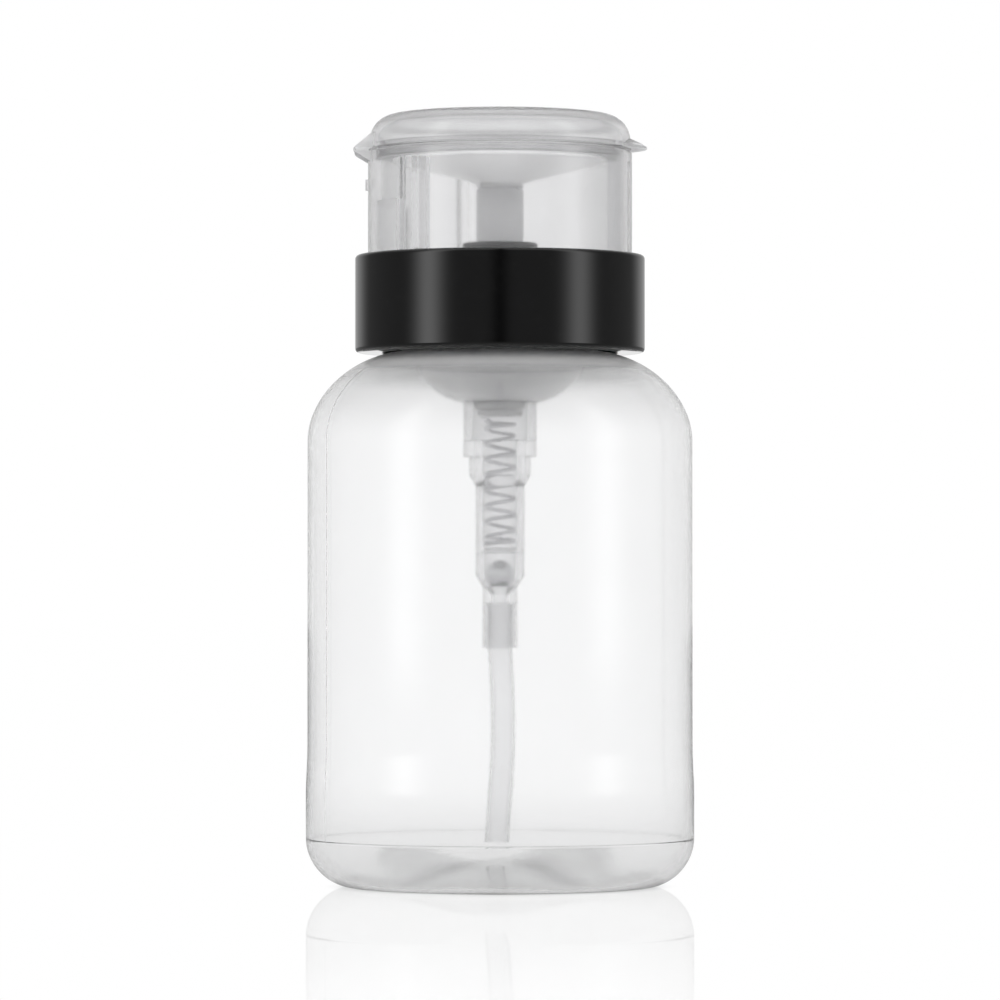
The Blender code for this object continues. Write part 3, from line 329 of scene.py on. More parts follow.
class CapSettings(bpy.types.PropertyGroup):
    """Screw cap, collar shell, guard and lid."""

    skirt: length("Cap skirt", "Outer radius of the screw cap's skirt", 0.01815)
    skirt_wall: length("Cap wall", "Thickness of the skirt", 0.00145)
    deck: length("Deck", "Thickness of the deck and the shelf", 0.0014)
    rib: length("Cap rib", "Thickness of the grip ribs", 0.0009)
    rib_count: bpy.props.IntProperty(name="Cap ribs", description="Ribs round the skirt", default=16)
    shell: length("Shell", "Thickness of the glossy shell", 0.0011)
    shell_edge: length("Upper edge", "Rounding of the shell's upper edge", 0.0006)
    shell_foot: length("Lower edge", "Rounding of the shell's lower edge", 0.0007)
    shell_lift: length("Shell lift", "How much its lower edge stands over the solid's", 0.0003)
    guard: length("Guard", "Outer radius of the see-through guard", 0.0206)
    guard_wall: length("Guard wall", "Thickness of the guard", 0.0013)
    guard_foot: length("Guard foot", "Thickness of the foot that the shell clamps", 0.0012)
    guides: bpy.props.IntProperty(name="Guides", description="Guides for the dish", default=3)
    guide_depth: length("Guide depth", "How far the dish guides stand in", 0.0023)
    guide_width: length("Guide width", "Thickness of the dish guides", 0.0015)
    guide_drop: length("Guide drop", "From the lid's plug down to the guides", 0.0005)
    guide_turn: turn_angle("Guide turn", "Where the first guide stands, from +X", 109)
    pad_depth: length("Pad depth", "Thickness of the pad at the hinge", 0.0008)
    pad_height: length("Pad height", "Height of the pad at the hinge", 0.0066)
    pad_half: turn_angle("Pad half turn", "Half of the pad's spread", 38)
    nib: length("Nib", "Width of the small nib under the hinge", 0.0016)
    nib_reach: length("Nib reach", "How far the nib stands out", 0.0004)
    nib_drop: length("Nib drop", "From the guard's top to the nib", 0.0043)
    hinge_width: length("Hinge width", "Width of the film hinge", 0.0110)
    hinge_film: length("Hinge film", "Thickness of the film", 0.00024)
    lower_web: length("Lower web", "Height of the web under the film", 0.0018)
    upper_web: length("Upper web", "Height of the web over the film", 0.0026)
    lid_wall: length("Lid wall", "Thickness of the lid's side", 0.0012)
    lid_roof: length("Lid roof", "Thickness of the lid's top", 0.0011)
    lid_corner: length("Lid corner", "Rounding of the lid's upper edge", 0.0040)
    lid_crown: length("Lid crown", "Rise of the lid's middle over its rounding", 0.0003)
    lid_rim: length("Lid rim", "Height of the solid rim", 0.0009)
    lid_plug: length("Lid plug", "Thickness of the ring that plugs the guard", 0.0010)
    tab_reach: length("Tab reach", "How far the thumb tab stands out", 0.0026)
    tab_radius: length("Tab radius", "Rounding of the tab, from above", 0.0090)
    tab_height: length("Tab height", "Height of the tab on the lid's side", 0.0017)
    tab_groove: length("Tab groove", "Height of the groove under the tab", 0.0003)
    tab_lip: length("Tab lip", "Thickness of the lip under the groove", 0.0004)
    tab_tip: length("Tab tip", "Height of the tab's edge", 0.0005)
    clear_tint: colour("Clear tint", "Colour of the see-through plastic", 0.94, 0.94, 0.945)
    clear_edge: share("Clear edge", "How much greyer it is edge on", 0.40)
    lid_tint: colour("Lid tint", "Colour of the lid's plastic", 0.975, 0.975, 0.98)
    lid_edge: share("Lid edge", "How much greyer the lid is edge on", 0.20)
    rim_shade: share("Rim shade", "How much greyer the lid's thick rim is", 0.30)
    roof_band: length("Roof band", "Height of the lid's upper corner, which is greyer", 0.0020)
    roof_shade: share("Roof shade", "How much greyer that corner is", 0.40)
    black: colour("Black", "Colour of the plain black plastic", 0.030, 0.030, 0.031)
    gloss_black: colour("Gloss black", "Colour of the polished shell", 0.0030, 0.0030, 0.0031)


class PressSettings(bpy.types.PropertyGroup):
    """Dish, stem and outlet."""

    stem: length("Stem", "Outer radius of the stem", 0.00365)
    stem_bore: length("Stem bore", "Radius of the liquid's way", 0.0011)
    spigot: length("Spigot", "Radius of the stem's top in the dish", 0.0026)
    spigot_rise: length("Spigot rise", "Height of the stem's top", 0.0023)
    chamber: length("Outlet chamber", "Radius of the outlet ball's room", 0.00185)
    chamber_depth: length("Outlet depth", "Depth of the outlet ball's room", 0.00405)
    seat_depth: length("Seat depth", "Height of the ball's cone seat", 0.0009)
    sleeve: length("Seal sleeve", "Radius of the stem inside the seal", 0.0028)
    sleeve_length: length("Sleeve length", "Height of the stem inside the seal", 0.00575)
    socket: length("Retainer socket", "Radius of the retainer's socket", 0.0020)
    socket_depth: length("Socket depth", "Depth of the retainer's socket", 0.0055)
    stub: length("Dish stub", "Straight part under the dish", 0.0006)
    dish_thickness: length("Dish thickness", "Thickness of the dish", 0.0011)
    dish_rise: length("Dish rise", "Rise of the dish to its rim", 0.0034)
    dish_power: share("Dish bulge", "1 is a straight cone", 0.9, 4)
    lip: length("Dish lip", "Thickness of the dish at its edge", 0.00045)
    boss_drop: length("Boss drop", "From the nozzle's top to the boss", 0.0009)
    nozzle: length("Nozzle head", "Radius of the nozzle's head", 0.0029)
    nozzle_head: length("Nozzle head height", "Height of the nozzle's head", 0.00065)
    nozzle_slot: length("Nozzle slot", "Width of the outlet slots", 0.0008)
    chaplet_plug: length("Chaplet plug", "Part of the chaplet in the head", 0.0050)
    soft_depth: length("Soft depth", "How far light wanders in the milky plastic", 0.0030)
    dish_tint: colour("Dish tint", "Colour of the dish", 0.985, 0.985, 0.99)
    nozzle_shade: share("Nozzle shade", "How bright the nozzle is beside the dish", 0.9)
    stem_tint: colour("Stem tint", "Colour of the stem", 0.97, 0.97, 0.975)
    chaplet_tint: colour("Chaplet tint", "Colour of the chaplet", 0.060, 0.060, 0.061)


class Value:
    """A shader socket. Sums and products of it add Math nodes."""

    def __init__(self, nodes, socket):
        self.nodes = nodes
        self.socket = socket

    def maths(self, operation, *given):
        sockets = dict(enumerate(given))
        return self.nodes.add("ShaderNodeMath", {"operation": operation}, sockets)

    def __add__(self, other):
        return self.maths("ADD", self, other)

    def __sub__(self, other):
        return self.maths("SUBTRACT", self, other)

    def __rsub__(self, other):
        return self.maths("SUBTRACT", other, self)

    def __mul__(self, other):
        return self.maths("MULTIPLY", self, other)

    def __truediv__(self, other):
        return self.maths("DIVIDE", self, other)

    def __pow__(self, other):
        return self.maths("POWER", self, other)

    def __neg__(self):
        return self.maths("MULTIPLY", self, -1)

    def __abs__(self):
        return self.maths("ABSOLUTE", self)

    __radd__ = __add__
    __rmul__ = __mul__

    def bell(self, centre, width):
        """A smooth bump of height 1 round the centre."""
        offset = (self - centre) / width
        return self.maths("EXPONENT", -(offset * offset))

    def smooth(self, low, high):
        """From 0 at low to 1 at high."""
        settings = {"interpolation_type": "SMOOTHSTEP"}
        return self.nodes.add("ShaderNodeMapRange", settings, {0: self, 1: low, 2: high})


class Nodes:
    """A node tree that is written as expressions."""

    def __init__(self, tree):
        self.tree = tree
        tree.nodes.clear()

    def add(self, kind, settings=None, sockets=None, output=0):
        """Adds a node, sets it, fills its sockets and gives one of its outputs as a value."""
        node = self.tree.nodes.new(kind)
        for name, setting in (settings or {}).items():
            setattr(node, name, setting)
        for key, given in (sockets or {}).items():
            if isinstance(given, Value):
                self.tree.links.new(given.socket, node.inputs[key])
            else:
                node.inputs[key].default_value = given
        return Value(self, node.outputs[output]) if node.outputs else node

    def place(self):
        """Object coordinates, which ride with the piece."""
        return self.add("ShaderNodeTexCoord", output=3)

    def axis(self, vector, index):
        return self.add("ShaderNodeSeparateXYZ", None, {0: vector}, index)

    def reach(self):
        """Distance from the piece's upright axis."""
        across, along = (self.axis(self.place(), index) for index in range(2))
        return (across * across + along * along) ** 0.5

    def noise(self, scale, detail=3, roughness=0.5, stretch=(1, 1, 1)):
        """Noise about 0.5, with features of about 1 / scale metres."""
        spread = self.add(
            "ShaderNodeMapping", {"vector_type": "POINT"}, {"Vector": self.place(), "Scale": stretch}
        )
        sockets = {"Vector": spread, "Scale": scale, "Detail": detail, "Roughness": roughness}
        return self.add("ShaderNodeTexNoise", None, sockets)

    def ray(self, *outputs):
        """What the light path says of the ray that arrives, one value for each output that is named."""
        return [self.add("ShaderNodeLightPath", output=name) for name in outputs]

    def dull_reflection(self):
        """1 for a ray that a rough surface threw back, or else 0."""
        glossy, thrown_back, mirrored = self.ray("Is Glossy Ray", "Is Reflection Ray", "Is Singular Ray")
        return glossy * thrown_back * (1 - mirrored)

    def edge_on(self, blend):
        """From 0 where the surface faces the eye to 1 where it is seen edge on."""
        return self.add("ShaderNodeLayerWeight", None, {"Blend": blend}, "Facing")

    def mix(self, mask, first, second):
        """From the first colour to the second as the mask goes from 0 to 1."""
        settings = {"data_type": "RGBA"}
        first = first if isinstance(first, Value) else (*first, 1)
        second = second if isinstance(second, Value) else (*second, 1)
        return self.add("ShaderNodeMix", settings, {0: mask, 6: first, 7: second}, 2)

    def blend(self, share_of_second, first, second):
        """Two shaders in one."""
        return self.add("ShaderNodeMixShader", None, {0: share_of_second, 1: first, 2: second})

    def bump(self, height, distance, strength=1.0):
        sockets = {"Height": height, "Distance": distance, "Strength": strength}
        return self.add("ShaderNodeBump", None, sockets)

    def shader(self, **sockets):
        """A Principled BSDF. Words in a socket's name are joined by an underscore."""
        named = {key.replace("_", " "): given for key, given in sockets.items()}
        return self.add("ShaderNodeBsdfPrincipled", None, named)

    def surface(self, shader, kind="ShaderNodeOutputMaterial"):
        self.add(kind, None, {"Surface": shader})


def new_finish(name):
    """A fresh material and its node tree."""
    made = bpy.data.materials.new(name)
    made.use_nodes = True
    return made, Nodes(made.node_tree)


def shaded(tint, factor):
    return tuple(channel * factor for channel in tint)


def frosted_finish(name, sizes, neck_root):
    """Blown plastic with a fine satin frost: cloudy, greyer edge on, and milkier at the neck. Painted
    shade under the collar greys the wall towards the neck, where it also stands for a thicker wall, and
    darkens the milky neck. The wall is also painted greyer towards the base.
    """
    made, nodes = new_finish(name)
    cloud = nodes.noise(CLOUD_SCALE, 3, 0.55)
    grain = nodes.noise(GRAIN_SCALE, 2, 0.6)
    flow = nodes.noise(DRAW_SCALE, 2, 0.5, (1, 1, 0.25))
    level = nodes.axis(nodes.place(), 2)
    # Painted shade: greyer towards the neck, partly for a thicker wall and partly as the collar's shade.
    # The colour is also painted greyer towards the base.
    thick = level.smooth(neck_root - sizes.grey_reach, neck_root) * sizes.shoulder_painted_shade
    thick = thick + (1 - level.smooth(0, sizes.foot_reach)) * sizes.foot_shade
    clouded = nodes.mix(cloud.smooth(0.3, 0.7), shaded(sizes.tint, 0.99), sizes.tint)
    greyed = nodes.mix(nodes.edge_on(0.5) ** 3, clouded, shaded(sizes.tint, 1 - sizes.edge_shade))
    rough = sizes.frost + (grain - 0.5) * 0.05 + (cloud - 0.5) * 0.03
    normal = nodes.bump(grain * 0.25 + flow, PLAIN_RELIEF, 0.5)
    see_through = nodes.shader(
        Base_Color=nodes.mix(thick, greyed, BLACK),
        Roughness=rough,
        IOR=BLOWN_IOR,
        Transmission_Weight=sizes.clear_share,
        Normal=normal,
    )
    # Painted shade under the collar darkens the milky neck's colour.
    shade = (*shaded(sizes.tint, 1 - sizes.milky_painted_shade), 1)
    lit = nodes.shader(Base_Color=shade, Roughness=0.5, Specular_IOR_Level=0.1, Normal=normal)
    glow = nodes.add("ShaderNodeBsdfTranslucent", None, {"Color": shade, "Normal": normal})
    milky = nodes.blend(GLOW_SHARE, lit, glow)
    milkiness = level.smooth(neck_root - sizes.milky_reach, neck_root) * sizes.milky_share
    nodes.surface(nodes.blend(milkiness, see_through, milky))
    return made


def clear_finish(name, tint, rough, clear, cloudy=0.0, edge=0.0, rim=None, corner=None, body=None):
    """Moulded see-through plastic: flow marks along the pull, faint haze and fine wear.

    The cloudy share of the light is scattered on its way through. The plastic is greyer edge on, in its
    rim, given as two heights and a shade, and at its upper corner, given as a height, a radius and a
    shade. What stands out past the body's radius is milky.
    """
    made, nodes = new_finish(name)
    haze = nodes.noise(HAZE_SCALE, 3, 0.6)
    flow = nodes.noise(FLOW_SCALE, 2, 0.5, (1, 1, 0.03))
    wear = nodes.noise(WEAR_SCALE, 3, 0.7, (1, 1, 0.4)).smooth(0.62, 0.78)
    colour = nodes.mix(haze.smooth(0.3, 0.7), shaded(tint, 0.98), tint)
    level = nodes.axis(nodes.place(), 2)
    if edge:
        colour = nodes.mix(nodes.edge_on(0.5) * edge, colour, BLACK)
    if rim:
        low, high, shade = rim
        band = level.smooth(low - PRESS_GAP, low) * (1 - level.smooth(high, high + PRESS_GAP))
        colour = nodes.mix(band * shade, colour, BLACK)
    if corner:
        low, radius, shade = corner
        above = level.smooth(low - PRESS_GAP, low + PRESS_GAP)
        outside = nodes.reach().smooth(radius - RUN_GAP, radius)
        colour = nodes.mix(above * outside * shade, colour, BLACK)
    normal = nodes.bump(flow, PLAIN_RELIEF, 0.2)
    plastic = nodes.shader(
        Base_Color=colour,
        Roughness=rough + (haze - 0.5) * 0.05 + wear * 0.05,
        IOR=CLEAR_IOR,
        Transmission_Weight=clear,
        Normal=normal,
    )
    if cloudy:
        scattered = nodes.add("ShaderNodeBsdfTranslucent", None, {"Color": (*tint, 1), "Normal": normal})
        if body:
            cloudy = cloudy + nodes.reach().smooth(body, body + RUN_GAP) * MILKY_EDGE
        plastic = nodes.blend(cloudy, plastic, scattered)
    nodes.surface(plastic)
    return made


def milky_finish(name, tint, depth):
    """Milky moulded plastic: light comes out of it again a little way off, or on the other side."""
    made, nodes = new_finish(name)
    haze = nodes.noise(HAZE_SCALE, 3, 0.6)
    fine = nodes.noise(WEAR_SCALE, 2, 0.6)
    nodes.surface(
        nodes.shader(
            Base_Color=nodes.mix(haze.smooth(0.3, 0.7), shaded(tint, 0.97), tint),
            Roughness=MILKY_ROUGH + (haze - 0.5) * 0.08,
            IOR=MOULDED_IOR,
            Subsurface_Weight=1.0,
            Subsurface_Radius=(1, 1, 1),
            Subsurface_Scale=depth,
            Normal=nodes.bump(fine, FINE_RELIEF, 0.3),
        )
    )
    return made


def black_finish(name, tint, polished=0.0):
    """Plain moulded black with a fine spark texture and rubbed edges, polished under a given height."""
    made, nodes = new_finish(name)
    satin = nodes.axis(nodes.place(), 2).smooth(polished, polished + PRESS_GAP)
    spark = nodes.noise(SPARK_SCALE, 3, 0.6)
    rubbed = nodes.noise(RUB_SCALE, 4, 0.6).smooth(0.55, 0.8)
    nodes.surface(
        nodes.shader(
            Base_Color=nodes.mix(rubbed, tint, shaded(tint, 1.6)),
            Roughness=(0.42 + (spark - 0.5) * 0.16 - rubbed * 0.06) * satin,
            Normal=nodes.bump(spark, PLAIN_RELIEF, 0.5),
        )
    )
    return made


def gloss_finish(name, tint, foot):
    """Polished black with the faintest ripple and handling haze, and a mirror up to a given height."""
    made, nodes = new_finish(name)
    above = nodes.axis(nodes.place(), 2).smooth(foot, foot + PRESS_GAP)
    ripple = nodes.noise(RIPPLE_SCALE, 2, 0.4)
    haze = nodes.noise(HANDLING_SCALE, 4, 0.65).smooth(0.5, 0.85)
    nodes.surface(
        nodes.shader(
            Base_Color=nodes.mix(haze, tint, shaded(tint, 1.8)),
            Roughness=(0.045 + haze * 0.05) * above,
            IOR=MOULDED_IOR,
            Normal=nodes.bump(ripple, FINE_RELIEF, 0.15),
        )
    )
    return made


def foam_finish(name):
    """Closed cell foam: small cells with darker rims."""
    made, nodes = new_finish(name)
    settings = {"feature": "DISTANCE_TO_EDGE"}
    cells = nodes.add("ShaderNodeTexVoronoi", settings, {"Vector": nodes.place(), "Scale": CELL_SCALE})
    inside = cells.smooth(0.02, 0.16)
    rim_tint = (0.60, 0.60, 0.58)
    cell_tint = (0.80, 0.80, 0.78)
    nodes.surface(
        nodes.shader(
            Base_Color=nodes.mix(inside, rim_tint, cell_tint),
            Roughness=0.85 - inside * 0.1,
            Normal=nodes.bump(inside, CELL_RELIEF, 0.6),
        )
    )
    return made


def steel_finish(name, grey, rough, lines):
    """Steel with fine drawing or polishing lines."""
    made, nodes = new_finish(name)
    drawn = nodes.noise(lines, 3, 0.6, (1, 1, 4))
    stain = nodes.noise(STAIN_SCALE, 3, 0.5).smooth(0.45, 0.8)
    bright = (grey, grey, grey * 1.02)
    nodes.surface(
        nodes.shader(
            Base_Color=nodes.mix(stain, bright, shaded(bright, 0.8)),
            Metallic=1.0 - stain * 0.05,
            Roughness=rough + (drawn - 0.5) * 0.12 + stain * 0.08,
            Normal=nodes.bump(drawn, FINE_RELIEF, 0.4),
        )
    )
    return made


def quarter(start, end, power, steps=ARC_STEPS):
    """Points along a quarter of a superellipse that leaves start upright and meets end level."""
    points = []
    for step in range(steps + 1):
        turn = math.pi / 2 * step / steps
        across = math.cos(turn) ** (2 / power) if step < steps else 0
        along = math.sin(turn) ** (2 / power)
        points.append(
            (end[0] + (start[0] - end[0]) * across, start[1] + (end[1] - start[1]) * along)
        )
    return points


def offset(points, distance):
    """The open line moved sideways, to the left of its run for a positive distance."""
    moved = []
    for index, point in enumerate(points):
        before = Vector(points[max(index - 1, 0)][:2])
        after = Vector(points[min(index + 1, len(points) - 1)][:2])
        way = (after - before).normalized()
        moved.append((point[0] - way.y * distance, point[1] + way.x * distance))
    return moved


def rounded(outline, closed=True, edge=0.0):
    """Rounds each corner by its third number, or by edge where it has none.

    A further point on either side holds the flats beside it flat under smooth shading.
    """
    count = len(outline)
    points = []
    for index, corner in enumerate(outline):
        reach = corner[2] if len(corner) > 2 else edge
        at_end = not closed and index in (0, count - 1)
        here = Vector(corner[:2])
        to_last = Vector(outline[index - 1][:2]) - here
        to_next = Vector(outline[(index + 1) % count][:2]) - here
        if at_end or reach <= 0 or to_last.length < WELD or to_next.length < WELD:
            points.append(tuple(here))
            continue
        half = to_last.angle(to_next) / 2
        if half > FLAT_CORNER:
            points.append(tuple(here))
            continue
        run = min(reach / math.tan(half), to_last.length * CORNER_SHARE, to_next.length * CORNER_SHARE)
        start = here + to_last.normalized() * run
        end = here + to_next.normalized() * run
        hold_before = min(HOLD * reach, HOLD * to_last.length / 4)
        hold_after = min(HOLD * reach, HOLD * to_next.length / 4)
        points.append(tuple(start + to_last.normalized() * hold_before))
        middle = (to_last.normalized() + to_next.normalized()).normalized()
        centre = here + middle * (run / math.cos(half))
        radius = run * math.tan(half)
        first = start - centre
        last = end - centre
        for step in range(CORNER_STEPS + 1):
            arm = first.lerp(last, step / CORNER_STEPS).normalized()
            points.append(tuple(centre + arm * radius))
        points.append(tuple(end + to_next.normalized() * hold_after))
    return points


def even_turns(sides):
    return [FULL_TURN * side / sides for side in range(sides)]


def link_mesh(name, shape, finish):
    """A closed mesh object with smooth faces and sharp corners."""
    bmesh.ops.remove_doubles(shape, verts=shape.verts, dist=WELD)
    bmesh.ops.recalc_face_normals(shape, faces=shape.faces)
    mesh = bpy.data.meshes.new(name)
    shape.to_mesh(mesh)
    shape.free()
    mesh.shade_smooth()
    mesh.set_sharp_from_angle(angle=SHARP_ANGLE)
    if finish:
        mesh.materials.append(finish)
    thing = bpy.data.objects.new(name, mesh)
    bpy.context.scene.collection.objects.link(thing)
    return thing


def turned(name, outline, finish, closed=True, turns=None, relief=None):
    """A piece turned from an outline of radius and height, with relief added where it is given."""
    turns = turns or even_turns(SIDES)
    shape = bmesh.new()
    rings = []
    for index, (radius, height) in enumerate(outline):
        if radius < WELD:
            rings.append([shape.verts.new((0, 0, height))] * len(turns))
            continue
        ring = []
        for turn in turns:
            reach = radius + (relief(index, radius, height, turn) if relief else 0)
            ring.append(shape.verts.new((reach * math.cos(turn), reach * math.sin(turn), height)))
        rings.append(ring)
    pairs = list(zip(rings, rings[1:]))
    if closed:
        pairs.append((rings[-1], rings[0]))
    for lower, upper in pairs:
        for side in range(len(turns)):
            after = (side + 1) % len(turns)
            corners = [lower[side], lower[after], upper[after], upper[side]]
            face = list(dict.fromkeys(corners))
            if len(face) > 2:
                shape.faces.new(face)
    return link_mesh(name, shape, finish)


def swept(name, path, section, finish):
    """A closed tube whose section, given at each point as places in the world, runs along the path."""
    shape = bmesh.new()
    rings = [[shape.verts.new(place) for place in section(point)] for point in path]
    for lower, upper in zip(rings, rings[1:]):
        for side in range(len(lower)):
            after = (side + 1) % len(lower)
            shape.faces.new([lower[side], lower[after], upper[after], upper[side]])
    shape.faces.new(rings[0])
    shape.faces.new(rings[-1])
    return link_mesh(name, shape, finish)


def block(low, high, turn=0.0):
    """A box between two corners, turned about the axis, as a helper for a cut or a join."""
    shape = bmesh.new()
    middle = (Vector(low) + Vector(high)) / 2
    size = Vector(high) - Vector(low)
    place = Matrix.Rotation(turn, 4, "Z") @ Matrix.Translation(middle) @ Matrix.Diagonal((*size, 1))
    bmesh.ops.create_cube(shape, size=1, matrix=place)
    return link_mesh("helper", shape, None)


def sector(outline, start, end, steps):
    """An outline of radius and height swept round the axis from one turn to another."""
    turns = [start + (end - start) * step / steps for step in range(steps + 1)]

    def section(turn):
        return [Vector((r * math.cos(turn), r * math.sin(turn), z)) for r, z in outline]

    return swept("helper", turns, section, None)


def prism(outline, width):
    """An outline of x and z, as thick as the width along y."""
    def section(side):
        return [Vector((x, side, z)) for x, z in outline]

    return swept("helper", (-width / 2, width / 2), section, None)


def combine(piece, helpers, operation):
    """Joins or cuts the helpers, and applies it."""
    for helper in helpers:
        change = piece.modifiers.new("change", "BOOLEAN")
        change.operation = operation
        change.solver = "EXACT"
        change.object = helper
        bpy.context.view_layer.update()
        ready = piece.evaluated_get(bpy.context.evaluated_depsgraph_get())
        mesh = bpy.data.meshes.new_from_object(ready)
        piece.modifiers.clear()
        old = piece.data
        mesh.name = old.name
        piece.data = mesh
        bpy.data.meshes.remove(old)
        bpy.data.objects.remove(helper)
    piece.data.shade_smooth()
    piece.data.set_sharp_from_angle(angle=SHARP_ANGLE)


def seat(piece, body, node):
    """The piece rides on the body and takes the node's place."""
    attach(piece, body)
    if node:
        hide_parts(node)


def dress(node, finish):
    """Gives a solid that stays its finish."""
    thing = frame["nodes"][node]
    thing.data.materials.clear()
    thing.data.materials.append(finish)


class MakeStudio(bpy.types.Operator):
    """Sets the floor, the white backdrop, the softboxes and the camera"""

    bl_idname = "pump_bottle.make_studio"
    bl_label = "Make studio"

    def execute(self, context):
        sizes = context.scene.pump_studio
        self.make_camera(context.scene, sizes)
        self.make_world(context.scene, sizes)
        self.make_floor(sizes)
        cycles = context.scene.cycles
        cycles.max_bounces = 32
        cycles.transmission_bounces = 32
        cycles.glossy_bounces = 12
        cycles.diffuse_bounces = 8
        cycles.transparent_max_bounces = 16
        context.scene.view_settings.view_transform = "Standard"
        return {"FINISHED"}

    def make_camera(self, scene, sizes):
        lens = bpy.data.cameras.new("camera")
        lens.sensor_width = 36
        lens.lens = sizes.lens
        lens.clip_end = 100
        camera = bpy.data.objects.new("camera", lens)
        camera.location = (0, -sizes.distance, sizes.height)
        camera.rotation_euler = (math.pi / 2 + sizes.rise, 0, 0)
        scene.collection.objects.link(camera)
        scene.camera = camera

    def make_world(self, scene, sizes):
        """White to the eye and through the plastic. Dull reflections see a room with two softboxes.

        Milky pieces behind clear walls get more light, because too little finds its way to them. Each
        wall that a ray goes through counts as two steps of its depth, one for each face.
        """
        world = bpy.data.worlds.new("studio")
        world.use_nodes = True
        scene.world = world
        world.cycles.sampling_method = "NONE"
        nodes = Nodes(world.node_tree)
        way = nodes.add("ShaderNodeTexCoord", output=0)
        across, along, up = (nodes.axis(way, index) for index in range(3))
        turn = across.maths("ARCTAN2", across, -along)
        left = turn.bell(sizes.turn_left, sizes.band_spread) * sizes.band_left
        right = turn.bell(sizes.turn_right, sizes.band_spread) * sizes.band_right
        ceiling = up.smooth(0.5, 0.95)
        behind = abs(turn).smooth(sizes.backdrop_start, sizes.backdrop_full)
        room = sizes.room + behind * sizes.backdrop + ceiling * sizes.overhead
        gap = 1 - turn.bell(0, sizes.gap_spread) * sizes.centre_gap
        studio = ((left + right) * (1 - ceiling) + room) * gap
        depth, scattered = nodes.ray("Transmission Depth", "Diffuse Depth")
        dim = nodes.dull_reflection() * (1 - depth.smooth(1, 3) * sizes.inner_fill)
        inside = scattered.smooth(0, 1) * depth.smooth(2, 4)
        strength = (1 + dim * (studio - 1)) * (1 + inside * sizes.scatter_fill)
        light = nodes.add("ShaderNodeBackground", None, {"Color": (*WHITE, 1), "Strength": strength})
        nodes.surface(light, "ShaderNodeOutputWorld")

    def make_floor(self, sizes):
        """White and lit from below, with a mirror and a shade that fade away from the base."""
        shape = bmesh.new()
        bmesh.ops.create_circle(shape, cap_ends=True, segments=SIDES, radius=sizes.floor_reach)
        made, nodes = new_finish("studio_floor")
        reach = nodes.reach()
        shade = 1 - reach.smooth(sizes.contact_start, sizes.contact_start + sizes.contact_reach)
        speck = nodes.noise(SPECK_SCALE, 2, 0.5) * sizes.speck
        dim = nodes.dull_reflection() * sizes.floor_dim
        light = nodes.mix((1 - shade * sizes.contact_shade - speck) * (1 - dim), BLACK, WHITE)
        lit = nodes.add("ShaderNodeEmission", None, {"Color": light, "Strength": 1})
        mirror = nodes.add("ShaderNodeBsdfGlossy", None, {"Color": (*WHITE, 1), "Roughness": 0})
        fade = 1 - reach.smooth(sizes.mirror_full, sizes.mirror_end)
        nodes.surface(nodes.blend(fade * sizes.mirror, lit, mirror))
        floor = link_mesh("studio_floor", shape, made)
        made.cycles.emission_sampling = "NONE"


def bottle_outside(sizes):
    """The bottle's outer line, from the middle of its base up to the neck's root."""
    foot = node_radius("bottle")
    ring_outside = foot - sizes.corner_run
    ring_inside = ring_outside - sizes.ring_width
    line = []
    for step in range(ARC_STEPS + 1):
        part = step / ARC_STEPS
        line.append((ring_inside * part, sizes.push_up * (1 - part**2)))
    corner = quarter((foot, sizes.corner_rise), (ring_outside, 0), sizes.corner_power, 2 * ARC_STEPS)
    line += corner[:0:-1]
    parting = sizes.corner_rise
    groove = sizes.parting_depth
    line += [(foot, parting - groove), (foot - groove, parting), (foot, parting + groove)]
    straight = sizes.corner_rise + sizes.foot_straight
    for step in range(ARC_STEPS + 1):
        part = step / ARC_STEPS
        ease = part * part * (3 - 2 * part)
        line.append((foot + (sizes.body - foot) * ease, straight + sizes.foot_taper * part))
    shoulder = quarter(
        (sizes.body, sizes.shoulder_start),
        (sizes.body - sizes.shoulder_run, sizes.shoulder_start + sizes.shoulder_rise),
        sizes.shoulder_power,
        2 * ARC_STEPS,
    )
    return line + [point for point in shoulder if point[0] > sizes.neck + sizes.neck_wall]


def seam_turns(sizes):
    """Even turns, with more of them across the two upright seams."""
    turns = even_turns(SIDES)
    half = sizes.seam_width / 2 / sizes.body
    cleared = 1.25 * SEAM_CUTS[-1] * half
    for seam in (sizes.seam_turn, sizes.seam_turn + math.pi):
        turns = [turn for turn in turns if turn_between(turn, seam, FULL_TURN) > cleared]
        turns += [(seam + half * cut) % FULL_TURN for cut in SEAM_CUTS]
    return sorted(turns)


def turn_between(turn, line, period):
    """The turn to the nearest of the lines that stand a period apart round the axis."""
    return abs((turn - line + period / 2) % period - period / 2)


def ridge(name, body, wall, side, turns, start, gain, finish):
    """A ridge of thread on a round wall, outwards for side 1 and inwards for side -1.

    It starts at a height, is low and slim at both ends, and its width has the gain in between.
    """
    steps = round(SIDES * turns)

    def section(step):
        part = step / steps
        taper = min(1, min(part, 1 - part) / THREAD_LEAD + THREAD_TIP)
        turn = FULL_TURN * turns * part
        middle = start + body.thread_pitch * turns * part
        half = body.thread_width / 2 * (THREAD_END + gain * taper)
        flat = half * THREAD_CREST
        root = wall - side * PRESS_GAP
        crest = wall + side * body.thread_depth * taper
        spots = ((root, -half), (crest, -flat), (crest, flat), (root, half))
        return [Vector((r * math.cos(turn), r * math.sin(turn), middle + z)) for r, z in spots]

    return swept(name, range(steps + 1), section, finish)


